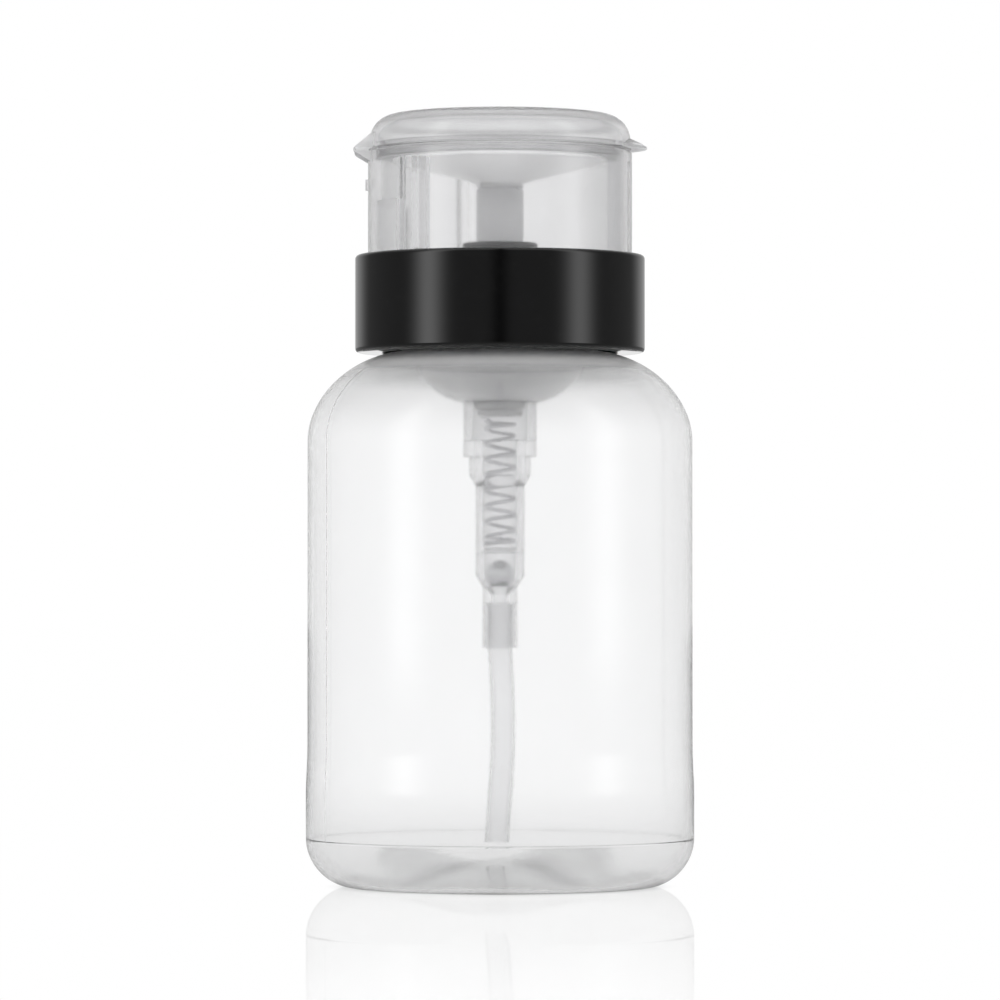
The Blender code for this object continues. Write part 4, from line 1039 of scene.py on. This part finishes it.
class MakeBottle(bpy.types.Operator):
    """Blows the frosted bottle and winds the thread on its neck"""

    bl_idname = "pump_bottle.make_bottle"
    bl_label = "Make bottle"

    def execute(self, context):
        sizes = context.scene.pump_body
        land = node_top("bottle")
        root = land - sizes.neck_height
        finish = frosted_finish("frosted_bottle", sizes, root)
        bore = sizes.neck - sizes.neck_wall
        outside = bottle_outside(sizes)
        inside = offset(outside, sizes.wall)
        inside[0] = (0, sizes.push_up + sizes.wall)
        edge = sizes.wall / 3
        neck = [
            (sizes.neck, root, edge),
            (sizes.neck, land, edge),
            (bore, land, edge),
            (bore, root - sizes.wall / 2),
        ]
        outline = rounded(outside + neck + inside[::-1], closed=False)

        def relief(index, radius, height, turn):
            """The seams on the body's outside, and the uneven wall inside the base's corner."""
            if index > len(outside) and height < sizes.corner_rise:
                wave = math.sin(turn) ** 2 * (1 + math.cos(sizes.waves * turn + sizes.wave_turn)) / 2
                fade = math.sin(math.pi * height / sizes.corner_rise) * min(1, radius / bore)
                return -sizes.wall * sizes.wave_share * fade * wave
            if index >= len(outside) or height < sizes.corner_rise or radius < bore:
                return 0
            away = turn_between(turn, sizes.seam_turn, math.pi) * radius
            fade = min(1, (height - sizes.corner_rise) / sizes.seam_fade)
            return sizes.seam_height * fade * max(0, 1 - away / (sizes.seam_width / 2))

        bottle = turned("bottle_blown", outline, finish, False, seam_turns(sizes), relief)
        seat(bottle, "bottle", "bottle")
        low = land - sizes.thread_width - NECK_TURNS * sizes.thread_pitch
        thread = ridge("neck_thread", sizes, sizes.neck, 1, NECK_TURNS, low, NECK_GAIN, finish)
        seat(thread, "bottle", None)
        return {"FINISHED"}


class MakeNeckPlug(bpy.types.Operator):
    """Moulds the plug that sits in the neck, with its bowl round the pump"""

    bl_idname = "pump_bottle.make_neck_plug"
    bl_label = "Make neck plug"

    def execute(self, context):
        body = context.scene.pump_body
        sizes = context.scene.pump_plug
        pump = context.scene.pump_inside
        land = node_top("bottle")
        top = node_top("neck_plug")
        skirt = body.neck - body.neck_wall - SEAT_GAP
        hole = pump.chamber_bore + pump.wall + SEAT_GAP
        bowl_top = land - sizes.skirt
        bowl_bottom = node_bottom("neck_plug")
        outside = [(skirt, land + SEAT_GAP)]
        outside += quarter((skirt, bowl_top), (hole, bowl_bottom), sizes.bowl_power)
        inside = offset(outside, -sizes.wall)
        inside[0] = (skirt - sizes.wall, top)
        inside[-1] = (hole, bowl_bottom + sizes.wall)
        flange = [(body.neck, top), (body.neck, land + SEAT_GAP)]
        outline = outside[::-1] + flange[::-1] + inside
        finish = clear_finish("natural_plug", sizes.tint, rough=0.20, clear=0.58)
        plug = turned("neck_plug_moulded", outline, finish)
        seat(plug, "bottle", "neck_plug")
        return {"FINISHED"}


class MakePump(bpy.types.Operator):
    """Moulds the pump housing with its gussets and vent, and draws the dip tube"""

    bl_idname = "pump_bottle.make_pump"
    bl_label = "Make pump"

    def execute(self, context):
        sizes = context.scene.pump_inside
        finish = clear_finish("natural_pump", sizes.tint, rough=0.14, clear=0.90, edge=sizes.wall_shade)
        seat(self.make_housing(sizes, finish), "pump", "pump_housing")
        drawn = clear_finish("natural_tube", sizes.tube_tint, rough=0.25, clear=0.99)
        seat(self.make_tube(sizes, drawn), "pump", "dip_tube")
        return {"FINISHED"}

    def make_housing(self, sizes, finish):
        top = node_top("pump_housing")
        low = node_bottom("pump_housing")
        rim = node_radius("pump_housing")
        flange_low = node_top("neck_gasket") + SEAT_GAP
        flange_top = flange_low + sizes.flange
        chamber = sizes.chamber_bore + sizes.wall
        head = sizes.head_bore + sizes.head_wall
        head_low = flange_low - sizes.head_depth
        barrel = sizes.barrel_bore + sizes.barrel_wall
        chamber_floor = flange_top - sizes.chamber_depth
        floor_low = chamber_floor - sizes.floor_thickness
        step_low = floor_low - sizes.step_length
        barrel_top = step_low - sizes.step_taper
        cage_seat = barrel_top - sizes.barrel_length
        ball_bore = sizes.barrel_bore - sizes.ball_ledge
        barrel_low = cage_seat - sizes.ball_bay
        spigot_top = barrel_low - sizes.spigot_taper
        socket = sizes.tube + SEAT_GAP
        spigot = socket + sizes.spigot_wall
        socket_top = low + sizes.socket_depth
        outline = [
            (spigot, low),
            (spigot, spigot_top),
            (barrel, barrel_low),
            (barrel, barrel_top),
            (sizes.step_radius, step_low),
            (sizes.step_radius, floor_low),
            (chamber, floor_low),
            (chamber, head_low - sizes.head_flare),
            (head, head_low),
            (head, flange_low),
            (rim, flange_low),
            (rim, flange_top),
            (head, flange_top),
            (head, top),
            (sizes.head_bore, top),
            (sizes.head_bore, head_low),
            (sizes.chamber_bore, head_low),
            (sizes.chamber_bore, chamber_floor),
            (sizes.barrel_bore, chamber_floor),
            (sizes.barrel_bore, cage_seat),
            (ball_bore, cage_seat),
            (ball_bore, spigot_top + sizes.seat_depth / 2),
            (sizes.inlet_bore, spigot_top - sizes.seat_depth / 2),
            (sizes.inlet_bore, socket_top),
            (socket, socket_top),
            (socket, low),
        ]
        outline = rounded(outline, edge=PRESS_GAP)
        housing = turned("pump_housing_moulded", outline, finish, turns=even_turns(SMALL_SIDES))
        half = sizes.gusset / 2
        gussets = []
        for index in range(sizes.gussets):
            inner = (head - sizes.head_wall / 2, -half, flange_low - sizes.gusset_drop)
            outer = (sizes.gusset_reach * rim, half, flange_low + sizes.flange / 2)
            gussets.append(block(inner, outer, FULL_TURN * (index + 0.5) / sizes.gussets))
        combine(housing, gussets, "UNION")
        past_wall = 1.2 * chamber
        drill = [(0, 0), (sizes.vent, 0), (sizes.vent, past_wall), (0, past_wall)]
        vent = turned("helper", drill, None, False, even_turns(SMALL_SIDES // 2))
        place = Matrix.Translation((0, 0, flange_low - sizes.vent_drop))
        vent.data.transform(place @ Matrix.Rotation(-math.pi / 2, 4, "X"))
        combine(housing, [vent], "DIFFERENCE")
        return housing

    def make_tube(self, sizes, finish):
        """A drawn tube that is straight in its socket and sways a little below it."""
        low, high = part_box("dip_tube")
        socket_low = node_bottom("pump_housing")
        bore = sizes.tube - sizes.tube_wall
        path = [(0, high.z), (0, socket_low)]
        for step in range(1, TUBE_STEPS + 1):
            part = step / TUBE_STEPS
            sway = math.sin(sizes.sway_turn * part) - sizes.tube_lean * part
            path.append((sizes.tube_bend * sway, socket_low + (low.z - socket_low) * part))
        shape = bmesh.new()
        turns = even_turns(SMALL_SIDES // 2)
        columns = []
        for turn in turns:
            out = Vector((math.cos(turn), math.sin(turn), 0))
            outside = [Vector((x, 0, z)) + out * sizes.tube for x, z in path]
            inside = [Vector((x, 0, z)) + out * bore for x, z in path]
            columns.append([shape.verts.new(place) for place in outside + inside[::-1]])
        for side, column in enumerate(columns):
            after = columns[(side + 1) % len(columns)]
            for row in range(len(column)):
                up = (row + 1) % len(column)
                shape.faces.new([column[row], after[row], after[up], column[up]])
        return link_mesh("dip_tube_drawn", shape, finish)


class MakeSpring(bpy.types.Operator):
    """Winds the return spring as one wire, with a close turn at each end"""

    bl_idname = "pump_bottle.make_spring"
    bl_label = "Make spring"

    def execute(self, context):
        sizes = context.scene.pump_inside
        low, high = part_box("spring")
        start = low.z + sizes.wire
        end = high.z - sizes.wire
        even = (end - start - 2 * sizes.end_pitch) / sizes.pitch
        turns = even + 2
        steps = round(turns * WIRE_STEPS)

        def centre(step):
            turn = turns * step / steps
            if turn < 1:
                height = start + sizes.end_pitch * turn
            elif turn < 1 + even:
                height = start + sizes.end_pitch + sizes.pitch * (turn - 1)
            else:
                height = end - sizes.end_pitch * (turns - turn)
            angle = sizes.spring_turn + FULL_TURN * turn
            return Vector((sizes.spring * math.cos(angle), sizes.spring * math.sin(angle), height))

        def section(step):
            here = centre(step)
            out = Vector((here.x, here.y, 0)).normalized()
            up = (centre(min(step + 1, steps)) - centre(max(step - 1, 0))).cross(out).normalized()
            ring = []
            for side in even_turns(WIRE_SIDES):
                ring.append(here + (out * math.cos(side) + up * math.sin(side)) * sizes.wire)
            return ring

        finish = steel_finish("spring_steel", grey=0.75, rough=0.32, lines=4000)
        spring = swept("spring_wound", range(steps + 1), section, finish)
        seat(spring, "pump", "spring")
        stroke = max(frame_joint("dish_press")["range_m"])
        tall = high.z - low.z
        (tall - stroke) / tall
        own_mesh(spring)
        return {"FINISHED"}


class MakeScrewCap(bpy.types.Operator):
    """Moulds the ribbed screw cap with its deck and its inner thread"""

    bl_idname = "pump_bottle.make_screw_cap"
    bl_label = "Make screw cap"

    def execute(self, context):
        sizes = context.scene.pump_cap
        pump = context.scene.pump_inside
        top = node_top("screw_cap")
        low = node_bottom("screw_cap")
        finish = black_finish("black_cap", sizes.black, low + PRESS_GAP)
        foot = node_radius("screw_cap")
        shelf_top = node_bottom("guard") - SEAT_GAP
        shelf_low = shelf_top - sizes.deck
        bore = sizes.skirt - sizes.skirt_wall
        hole = pump.head_bore + pump.head_wall + RUN_GAP
        edge = sizes.deck / 5
        outline = [
            (bore, low, edge),
            (sizes.skirt, low, edge),
            (sizes.skirt, shelf_low),
            (foot, shelf_low),
            (foot, shelf_top),
            (sizes.skirt, shelf_top),
            (sizes.skirt, top, edge),
            (hole, top, edge),
            (hole, top - sizes.deck),
            (bore, top - sizes.deck),
        ]
        cap = turned("screw_cap_moulded", rounded(outline), finish)
        ribs = []
        for index in range(sizes.rib_count):
            inner = (sizes.skirt - sizes.skirt_wall / 2, -sizes.rib / 2, low + sizes.skirt_wall)
            outer = (foot - RUN_GAP, sizes.rib / 2, shelf_low + sizes.deck / 2)
            ribs.append(block(inner, outer, FULL_TURN * (index + 0.5) / sizes.rib_count))
        combine(cap, ribs, "UNION")
        seat(cap, "cap", "screw_cap")
        body = context.scene.pump_body
        neck_low = node_top("bottle") - body.thread_width - NECK_TURNS * body.thread_pitch
        low = neck_low + body.thread_pitch / 2
        thread = ridge("cap_thread", body, bore, -1, CAP_TURNS, low, CAP_GAIN, finish)
        seat(thread, "cap", None)
        return {"FINISHED"}


class MakeCollar(bpy.types.Operator):
    """Moulds the polished black shell over the screw cap, with its snap beads"""

    bl_idname = "pump_bottle.make_collar"
    bl_label = "Make collar"

    def execute(self, context):
        sizes = context.scene.pump_cap
        top = node_top("collar_shell")
        low = node_bottom("collar_shell") + sizes.shell_lift
        outer = node_radius("collar_shell")
        bore = outer - sizes.shell
        lip = sizes.guard + SEAT_GAP
        lip_low = top - sizes.shell
        edge = sizes.shell / 5
        flange = sizes.skirt + RUN_GAP
        outline = [
            (bore, low + sizes.shell / 2),
            (flange, low + sizes.shell / 2, edge),
            (flange, low, edge),
            (outer, low, sizes.shell_foot),
            (outer, top, sizes.shell_edge),
            (lip, top, edge),
            (lip, lip_low),
            (bore, lip_low),
        ]
        finish = gloss_finish("black_gloss", sizes.gloss_black, low + PRESS_GAP)
        shell = turned("collar_shell_polished", rounded(outline), finish)
        bead_top = node_bottom("guard") - SEAT_GAP - sizes.deck - SEAT_GAP
        reach = SEAT_GAP + sizes.guard_foot / 4
        bead = [
            (bore + sizes.shell / 2, bead_top),
            (bore - reach, bead_top - reach),
            (bore + sizes.shell / 2, bead_top - reach * 3),
        ]
        half = FULL_TURN / 4 / sizes.rib_count
        beads = []
        for index in range(0, sizes.rib_count, 4):
            middle = FULL_TURN * index / sizes.rib_count
            beads.append(sector(bead, middle - half, middle + half, 2 * CORNER_STEPS))
        combine(shell, beads, "UNION")
        seat(shell, "cap", "collar_shell")
        return {"FINISHED"}


class MakeGuard(bpy.types.Operator):
    """Moulds the see-through guard with its guides, hinge pad, web and nib"""

    bl_idname = "pump_bottle.make_guard"
    bl_label = "Make guard"

    def execute(self, context):
        sizes = context.scene.pump_cap
        finish = clear_finish(
            "clear_guard",
            sizes.clear_tint,
            rough=0.10,
            clear=0.97,
            cloudy=0.01,
            edge=sizes.clear_edge,
            body=sizes.guard,
        )
        low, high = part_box("guard")
        foot = high.x
        foot_top = low.z + sizes.guard_foot
        foot_inside = sizes.skirt + SEAT_GAP
        bore = sizes.guard - sizes.guard_wall
        edge = sizes.guard_wall / 4
        outline = [
            (foot_inside, low.z),
            (foot, low.z),
            (foot, foot_top),
            (sizes.guard, foot_top),
            (sizes.guard, high.z, edge),
            (bore, high.z, edge),
            (bore, foot_top),
            (foot_inside, foot_top),
        ]
        guard = turned("guard_moulded", rounded(outline), finish)
        combine(guard, self.make_inner(sizes, bore), "UNION")
        in_wall = sizes.guard - sizes.guard_wall / 2
        combine(guard, [hinge_web(sizes, in_wall, high.z, -sizes.lower_web)], "UNION")
        seat(guard, "cap", "guard")
        return {"FINISHED"}

    def make_inner(self, sizes, bore):
        """The guides for the dish, the pad that stiffens the wall at the hinge, and the nib under it."""
        in_wall = bore + sizes.guard_wall / 2
        deck = node_top("screw_cap") + SEAT_GAP
        plug_low = node_bottom("lid")
        helpers = []
        for index in range(sizes.guides):
            turn = sizes.guide_turn + FULL_TURN * index / sizes.guides
            inner = (bore - sizes.guide_depth, -sizes.guide_width / 2, deck)
            outer = (in_wall, sizes.guide_width / 2, plug_low - sizes.guide_drop)
            helpers.append(block(inner, outer, turn))
        pad_top = plug_low - RUN_GAP
        pad_upper = pad_top - sizes.pad_depth / 3
        pad_lower = pad_top - sizes.pad_height
        inside = bore - sizes.pad_depth
        pad = [(inside, pad_lower), (in_wall, pad_lower), (in_wall, pad_upper), (inside, pad_upper)]
        helpers.append(sector(pad, math.pi - sizes.pad_half, math.pi + sizes.pad_half, SMALL_SIDES // 2))
        for side in (-1, 1):
            inner = (bore - 1.25 * sizes.pad_depth, -sizes.pad_depth / 2, deck)
            outer = (in_wall, sizes.pad_depth / 2, pad_top)
            helpers.append(block(inner, outer, math.pi + side * sizes.pad_half))
        nib_top = node_top("guard") - sizes.nib_drop
        nib_low = (-sizes.guard - sizes.nib_reach, -sizes.nib / 2, nib_top - sizes.nib)
        helpers.append(block(nib_low, (-in_wall, sizes.nib / 2, nib_top)))
        return helpers


def hinge_place():
    """The film hinge's axis, as x and z."""
    place = frame_joint("lid_hinge")["pos_m"]
    return place[0], place[2]


def hinge_web(sizes, in_wall, level, rise):
    """The wedge beside the film, joined to a wall: over the level, or under it for a negative rise."""
    film = sizes.hinge_film / 2
    tip = hinge_place()[0] + film
    step = math.copysign(film, rise)
    near = level + step
    outline = [(-in_wall, near), (tip, near), (tip, near + step), (-in_wall, level + rise)]
    return prism(outline, sizes.hinge_width)


class MakeLid(bpy.types.Operator):
    """Moulds the see-through lid with its plug ring, thumb tab and hinge web"""

    bl_idname = "pump_bottle.make_lid"
    bl_label = "Make lid"

    def execute(self, context):
        sizes = context.scene.pump_cap
        low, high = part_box("lid")
        radius = high.y
        base = 2 * hinge_place()[1] - node_top("guard")
        rim = (low.z, base + sizes.lid_rim, sizes.rim_shade)
        corner = (high.z - sizes.roof_band, radius - sizes.lid_corner, sizes.roof_shade)
        finish = clear_finish(
            "clear_lid",
            sizes.lid_tint,
            rough=0.10,
            clear=0.97,
            cloudy=0.08,
            edge=sizes.lid_edge,
            rim=rim,
            corner=corner,
            body=radius,
        )
        plug = sizes.guard - sizes.guard_wall - SEAT_GAP
        plug_inside = plug - sizes.lid_plug
        wall_top = high.z - sizes.lid_crown - sizes.lid_corner
        inside = radius - sizes.lid_wall
        flat = radius - sizes.lid_corner
        outer_corner = quarter((radius, wall_top), (flat, high.z - sizes.lid_crown), 2)
        inner_top = high.z - sizes.lid_crown - sizes.lid_roof
        inner_corner = quarter((inside, wall_top), (flat, inner_top), 2)
        edge = sizes.lid_wall / 4
        crown = []
        for step in range(ARC_STEPS):
            part = step / ARC_STEPS
            crown.append((flat * part, high.z - sizes.lid_crown * part**2))
        outline = [
            *crown,
            *outer_corner[::-1],
            (radius, base, edge),
            (plug, base),
            (plug, low.z, edge),
            (plug_inside, low.z, edge),
            (plug_inside, base + sizes.lid_rim),
            (inside, base + sizes.lid_rim),
            *inner_corner,
            (0, inner_top),
        ]
        lid = turned("lid_moulded", rounded(outline, closed=False), finish, closed=False)
        web = hinge_web(sizes, radius - sizes.lid_wall / 2, base, sizes.upper_web)
        combine(lid, [self.make_tab(sizes, radius, base), web], "UNION")
        seat(lid, "lid", "lid")
        return {"FINISHED"}

    def make_tab(self, sizes, radius, base):
        """The crescent that the thumb lifts, thin at its tip, with a groove under it."""
        in_wall = radius - sizes.lid_wall / 2
        low = base + SEAT_GAP / 2
        centre = radius + sizes.tab_reach - sizes.tab_radius
        outline = [
            (0, low),
            (sizes.tab_radius, low, PRESS_GAP),
            (sizes.tab_radius, low + sizes.tab_tip, PRESS_GAP),
            (radius - centre, low + sizes.tab_height),
            (0, low + sizes.tab_height),
        ]
        tab = turned("helper", rounded(outline, closed=False), None, closed=False)
        tab.data.transform(Matrix.Translation((centre, 0, 0)))
        under = base - SEAT_GAP
        over = base + 2 * sizes.tab_height
        trim = [(0, under), (in_wall, under), (in_wall, over), (0, over)]
        groove_low = low + sizes.tab_lip
        groove_top = groove_low + sizes.tab_groove
        groove_inside = radius + sizes.tab_reach / 4
        reach = radius + 2 * sizes.tab_reach
        groove = [
            (groove_inside, groove_low),
            (reach, groove_low),
            (reach, groove_top),
            (groove_inside, groove_top),
        ]
        ring = sector(groove, -math.pi / 4, math.pi / 4, SMALL_SIDES // 3 * 2)
        cuts = [turned("helper", trim, None, closed=False), ring]
        combine(tab, cuts, "DIFFERENCE")
        return tab


class MakeHingeFilm(bpy.types.Operator):
    """Moulds the thin film that joins the guard's web and the lid's"""

    bl_idname = "pump_bottle.make_hinge_film"
    bl_label = "Make hinge film"

    def execute(self, context):
        sizes = context.scene.pump_cap
        hinge, level = hinge_place()
        film = sizes.hinge_film
        half = level - node_top("guard") + film / 2
        bulge = film / 3
        thickness = 0.7 * film
        outer = []
        for step in range(FILM_STEPS + 1):
            turn = math.pi * (step / FILM_STEPS - 0.5)
            outer.append((hinge - bulge * math.cos(turn), level + half * math.sin(turn)))
        inner = [(x + thickness, z) for x, z in outer]
        film_piece = prism(inner + outer[::-1], sizes.hinge_width - film)
        film_piece.name = "hinge_film"
        finish = clear_finish("clear_film", sizes.clear_tint, rough=0.12, clear=0.90, cloudy=0.5)
        film_piece.data.materials.append(finish)
        level - half
        level + half
        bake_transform(film_piece)
        return {"FINISHED"}


class MakePress(bpy.types.Operator):
    """Moulds the dish, the hollow stem, the outlet nozzle and the chaplet"""

    bl_idname = "pump_bottle.make_press"
    bl_label = "Make press"

    def execute(self, context):
        sizes = context.scene.pump_press
        pump = context.scene.pump_inside
        seat(self.make_stem(sizes), "press", "stem")
        seat(self.make_dish(sizes), "press", "dish")
        seat(self.make_nozzle(sizes), "press", "outlet_nozzle")
        seat(self.make_chaplet(sizes, pump), "pump", "chaplet")
        return {"FINISHED"}

    def make_stem(self, sizes):
        low = node_bottom("stem")
        top = node_top("stem")
        shoulder = top - sizes.spigot_rise
        seat_top = top - sizes.chamber_depth
        sleeve_top = low + sizes.sleeve_length
        outline = [
            (sizes.sleeve, low),
            (sizes.sleeve, sleeve_top),
            (sizes.stem, sleeve_top),
            (sizes.stem, shoulder),
            (sizes.spigot, shoulder),
            (sizes.spigot, top),
            (sizes.chamber, top),
            (sizes.chamber, seat_top),
            (sizes.stem_bore, seat_top - sizes.seat_depth),
            (sizes.stem_bore, low + sizes.socket_depth),
            (sizes.socket, low + sizes.socket_depth),
            (sizes.socket, low),
        ]
        finish = clear_finish("milky_stem", sizes.stem_tint, rough=0.35, clear=0.25, cloudy=0.4)
        outline = rounded(outline, edge=PRESS_GAP)
        return turned("stem_moulded", outline, finish, turns=even_turns(SMALL_SIDES))

    def make_dish(self, sizes):
        low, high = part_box("dish")
        edge = high.x

        def line(height, rise):
            points = []
            for step in range(2 * ARC_STEPS + 1):
                part = step / ARC_STEPS / 2
                radius = sizes.stem + (edge - sizes.stem) * part
                points.append((radius, height + rise * part**sizes.dish_power))
            return points

        under = line(low.z + sizes.stub, sizes.dish_rise)
        over_rise = sizes.dish_rise + sizes.lip - sizes.dish_thickness
        over = line(low.z + sizes.stub + sizes.dish_thickness, over_rise)
        boss = sizes.stem + SEAT_GAP
        socket = sizes.spigot + SEAT_GAP
        ledge = node_top("stem") + SEAT_GAP
        boss_top = node_top("outlet_nozzle") - sizes.boss_drop
        rounding = sizes.lip / 3
        outline = [
            (socket, low.z),
            (sizes.stem, low.z),
            *under[:-1],
            (*under[-1], rounding),
            (*over[-1], rounding),
            *over[-2:0:-1],
            (boss, under[0][1] + sizes.dish_thickness),
            (boss, boss_top, 2 * rounding),
            (sizes.chamber, boss_top),
            (sizes.chamber, ledge),
            (socket, ledge),
        ]
        finish = milky_finish("natural_dish", sizes.dish_tint, sizes.soft_depth)
        return turned("dish_moulded", rounded(outline), finish)

    def make_nozzle(self, sizes):
        low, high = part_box("outlet_nozzle")
        head_low = high.z - sizes.nozzle_head
        plug = sizes.chamber - PRESS_GAP
        outline = [
            (0, low.z),
            (plug, low.z),
            (plug, head_low),
            (sizes.nozzle, head_low),
            (sizes.nozzle, high.z, sizes.nozzle_head / 3),
            (0, high.z),
        ]
        tint = shaded(sizes.dish_tint, sizes.nozzle_shade)
        finish = milky_finish("natural_nozzle", tint, sizes.soft_depth)
        outline = rounded(outline, closed=False)
        nozzle = turned("outlet_nozzle_moulded", outline, finish, False, even_turns(SMALL_SIDES))
        reach = 1.2 * sizes.nozzle
        half = sizes.nozzle_slot / 2
        slots = []
        for turn in (0, math.pi / 2):
            near = (-reach, -half, low.z - sizes.nozzle_slot)
            slots.append(block(near, (reach, half, head_low + sizes.nozzle_head / 3), turn))
        combine(nozzle, slots, "DIFFERENCE")
        return nozzle

    def make_chaplet(self, sizes, pump):
        top = node_top("chaplet")
        low = node_bottom("chaplet")
        rim = node_radius("chaplet")
        plug = pump.head_bore - PRESS_GAP
        bore = sizes.stem + RUN_GAP
        ledge = low + sizes.chaplet_plug
        edge = pump.wall / 4
        outline = [
            (bore, low),
            (plug, low, edge),
            (plug, ledge),
            (rim, ledge),
            (rim, top, edge),
            (bore, top, edge),
        ]
        finish = black_finish("black_chaplet", sizes.chaplet_tint)
        return turned("chaplet_moulded", rounded(outline), finish, turns=even_turns(SMALL_SIDES))


class FinishSmallPieces(bpy.types.Operator):
    """Gives the gasket, the seals, the cage and the balls their finishes"""

    bl_idname = "pump_bottle.finish_small_pieces"
    bl_label = "Finish small pieces"

    def execute(self, context):
        sizes = context.scene.pump_inside
        milky = milky_finish("milky_small", sizes.tint, context.scene.pump_press.soft_depth)
        dress("neck_gasket", foam_finish("gasket_foam"))
        for node in ("stem_wiper", "ball_cage", "piston_seal", "piston_retainer"):
            dress(node, milky)
        ball = steel_finish("ball_steel", grey=0.70, rough=0.22, lines=2200)
        dress("inlet_ball", ball)
        dress("outlet_ball", ball)
        return {"FINISHED"}


class PumpBottlePanel(bpy.types.Panel):
    """Lists the steps and the sizes"""

    bl_idname = "VIEW3D_PT_pump_bottle"
    bl_label = "Pump bottle"
    bl_space_type = "VIEW_3D"
    bl_region_type = "UI"
    bl_category = "Pump bottle"

    def draw(self, context):
        for step in STEPS:
            self.layout.operator(step.bl_idname)
        for name, group in GROUPS.items():
            box = self.layout.box()
            for key in group.__annotations__:
                box.prop(getattr(context.scene, name), key)


STEPS = (
    MakeStudio,
    MakeBottle,
    MakeNeckPlug,
    MakePump,
    MakeSpring,
    MakeScrewCap,
    MakeCollar,
    MakeGuard,
    MakeLid,
    MakeHingeFilm,
    MakePress,
    FinishSmallPieces,
)
GROUPS = {
    "pump_studio": StudioSettings,
    "pump_body": BottleSettings,
    "pump_plug": PlugSettings,
    "pump_inside": PumpSettings,
    "pump_cap": CapSettings,
    "pump_press": PressSettings,
}


def register():
    for group in GROUPS.values():
        bpy.utils.register_class(group)
    for name, group in GROUPS.items():
        setattr(bpy.types.Scene, name, bpy.props.PointerProperty(type=group))
    for step in (*STEPS, PumpBottlePanel):
        bpy.utils.register_class(step)


def unregister():
    for step in (PumpBottlePanel, *reversed(STEPS)):
        bpy.utils.unregister_class(step)
    for name, group in GROUPS.items():
        delattr(bpy.types.Scene, name)
        bpy.utils.unregister_class(group)


def main():
    """Runs every step in order."""
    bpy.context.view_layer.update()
    register()
    for step in STEPS:
        family, action = step.bl_idname.split(".")
        getattr(getattr(bpy.ops, family), action)()


if __name__ == "__main__":
    main()
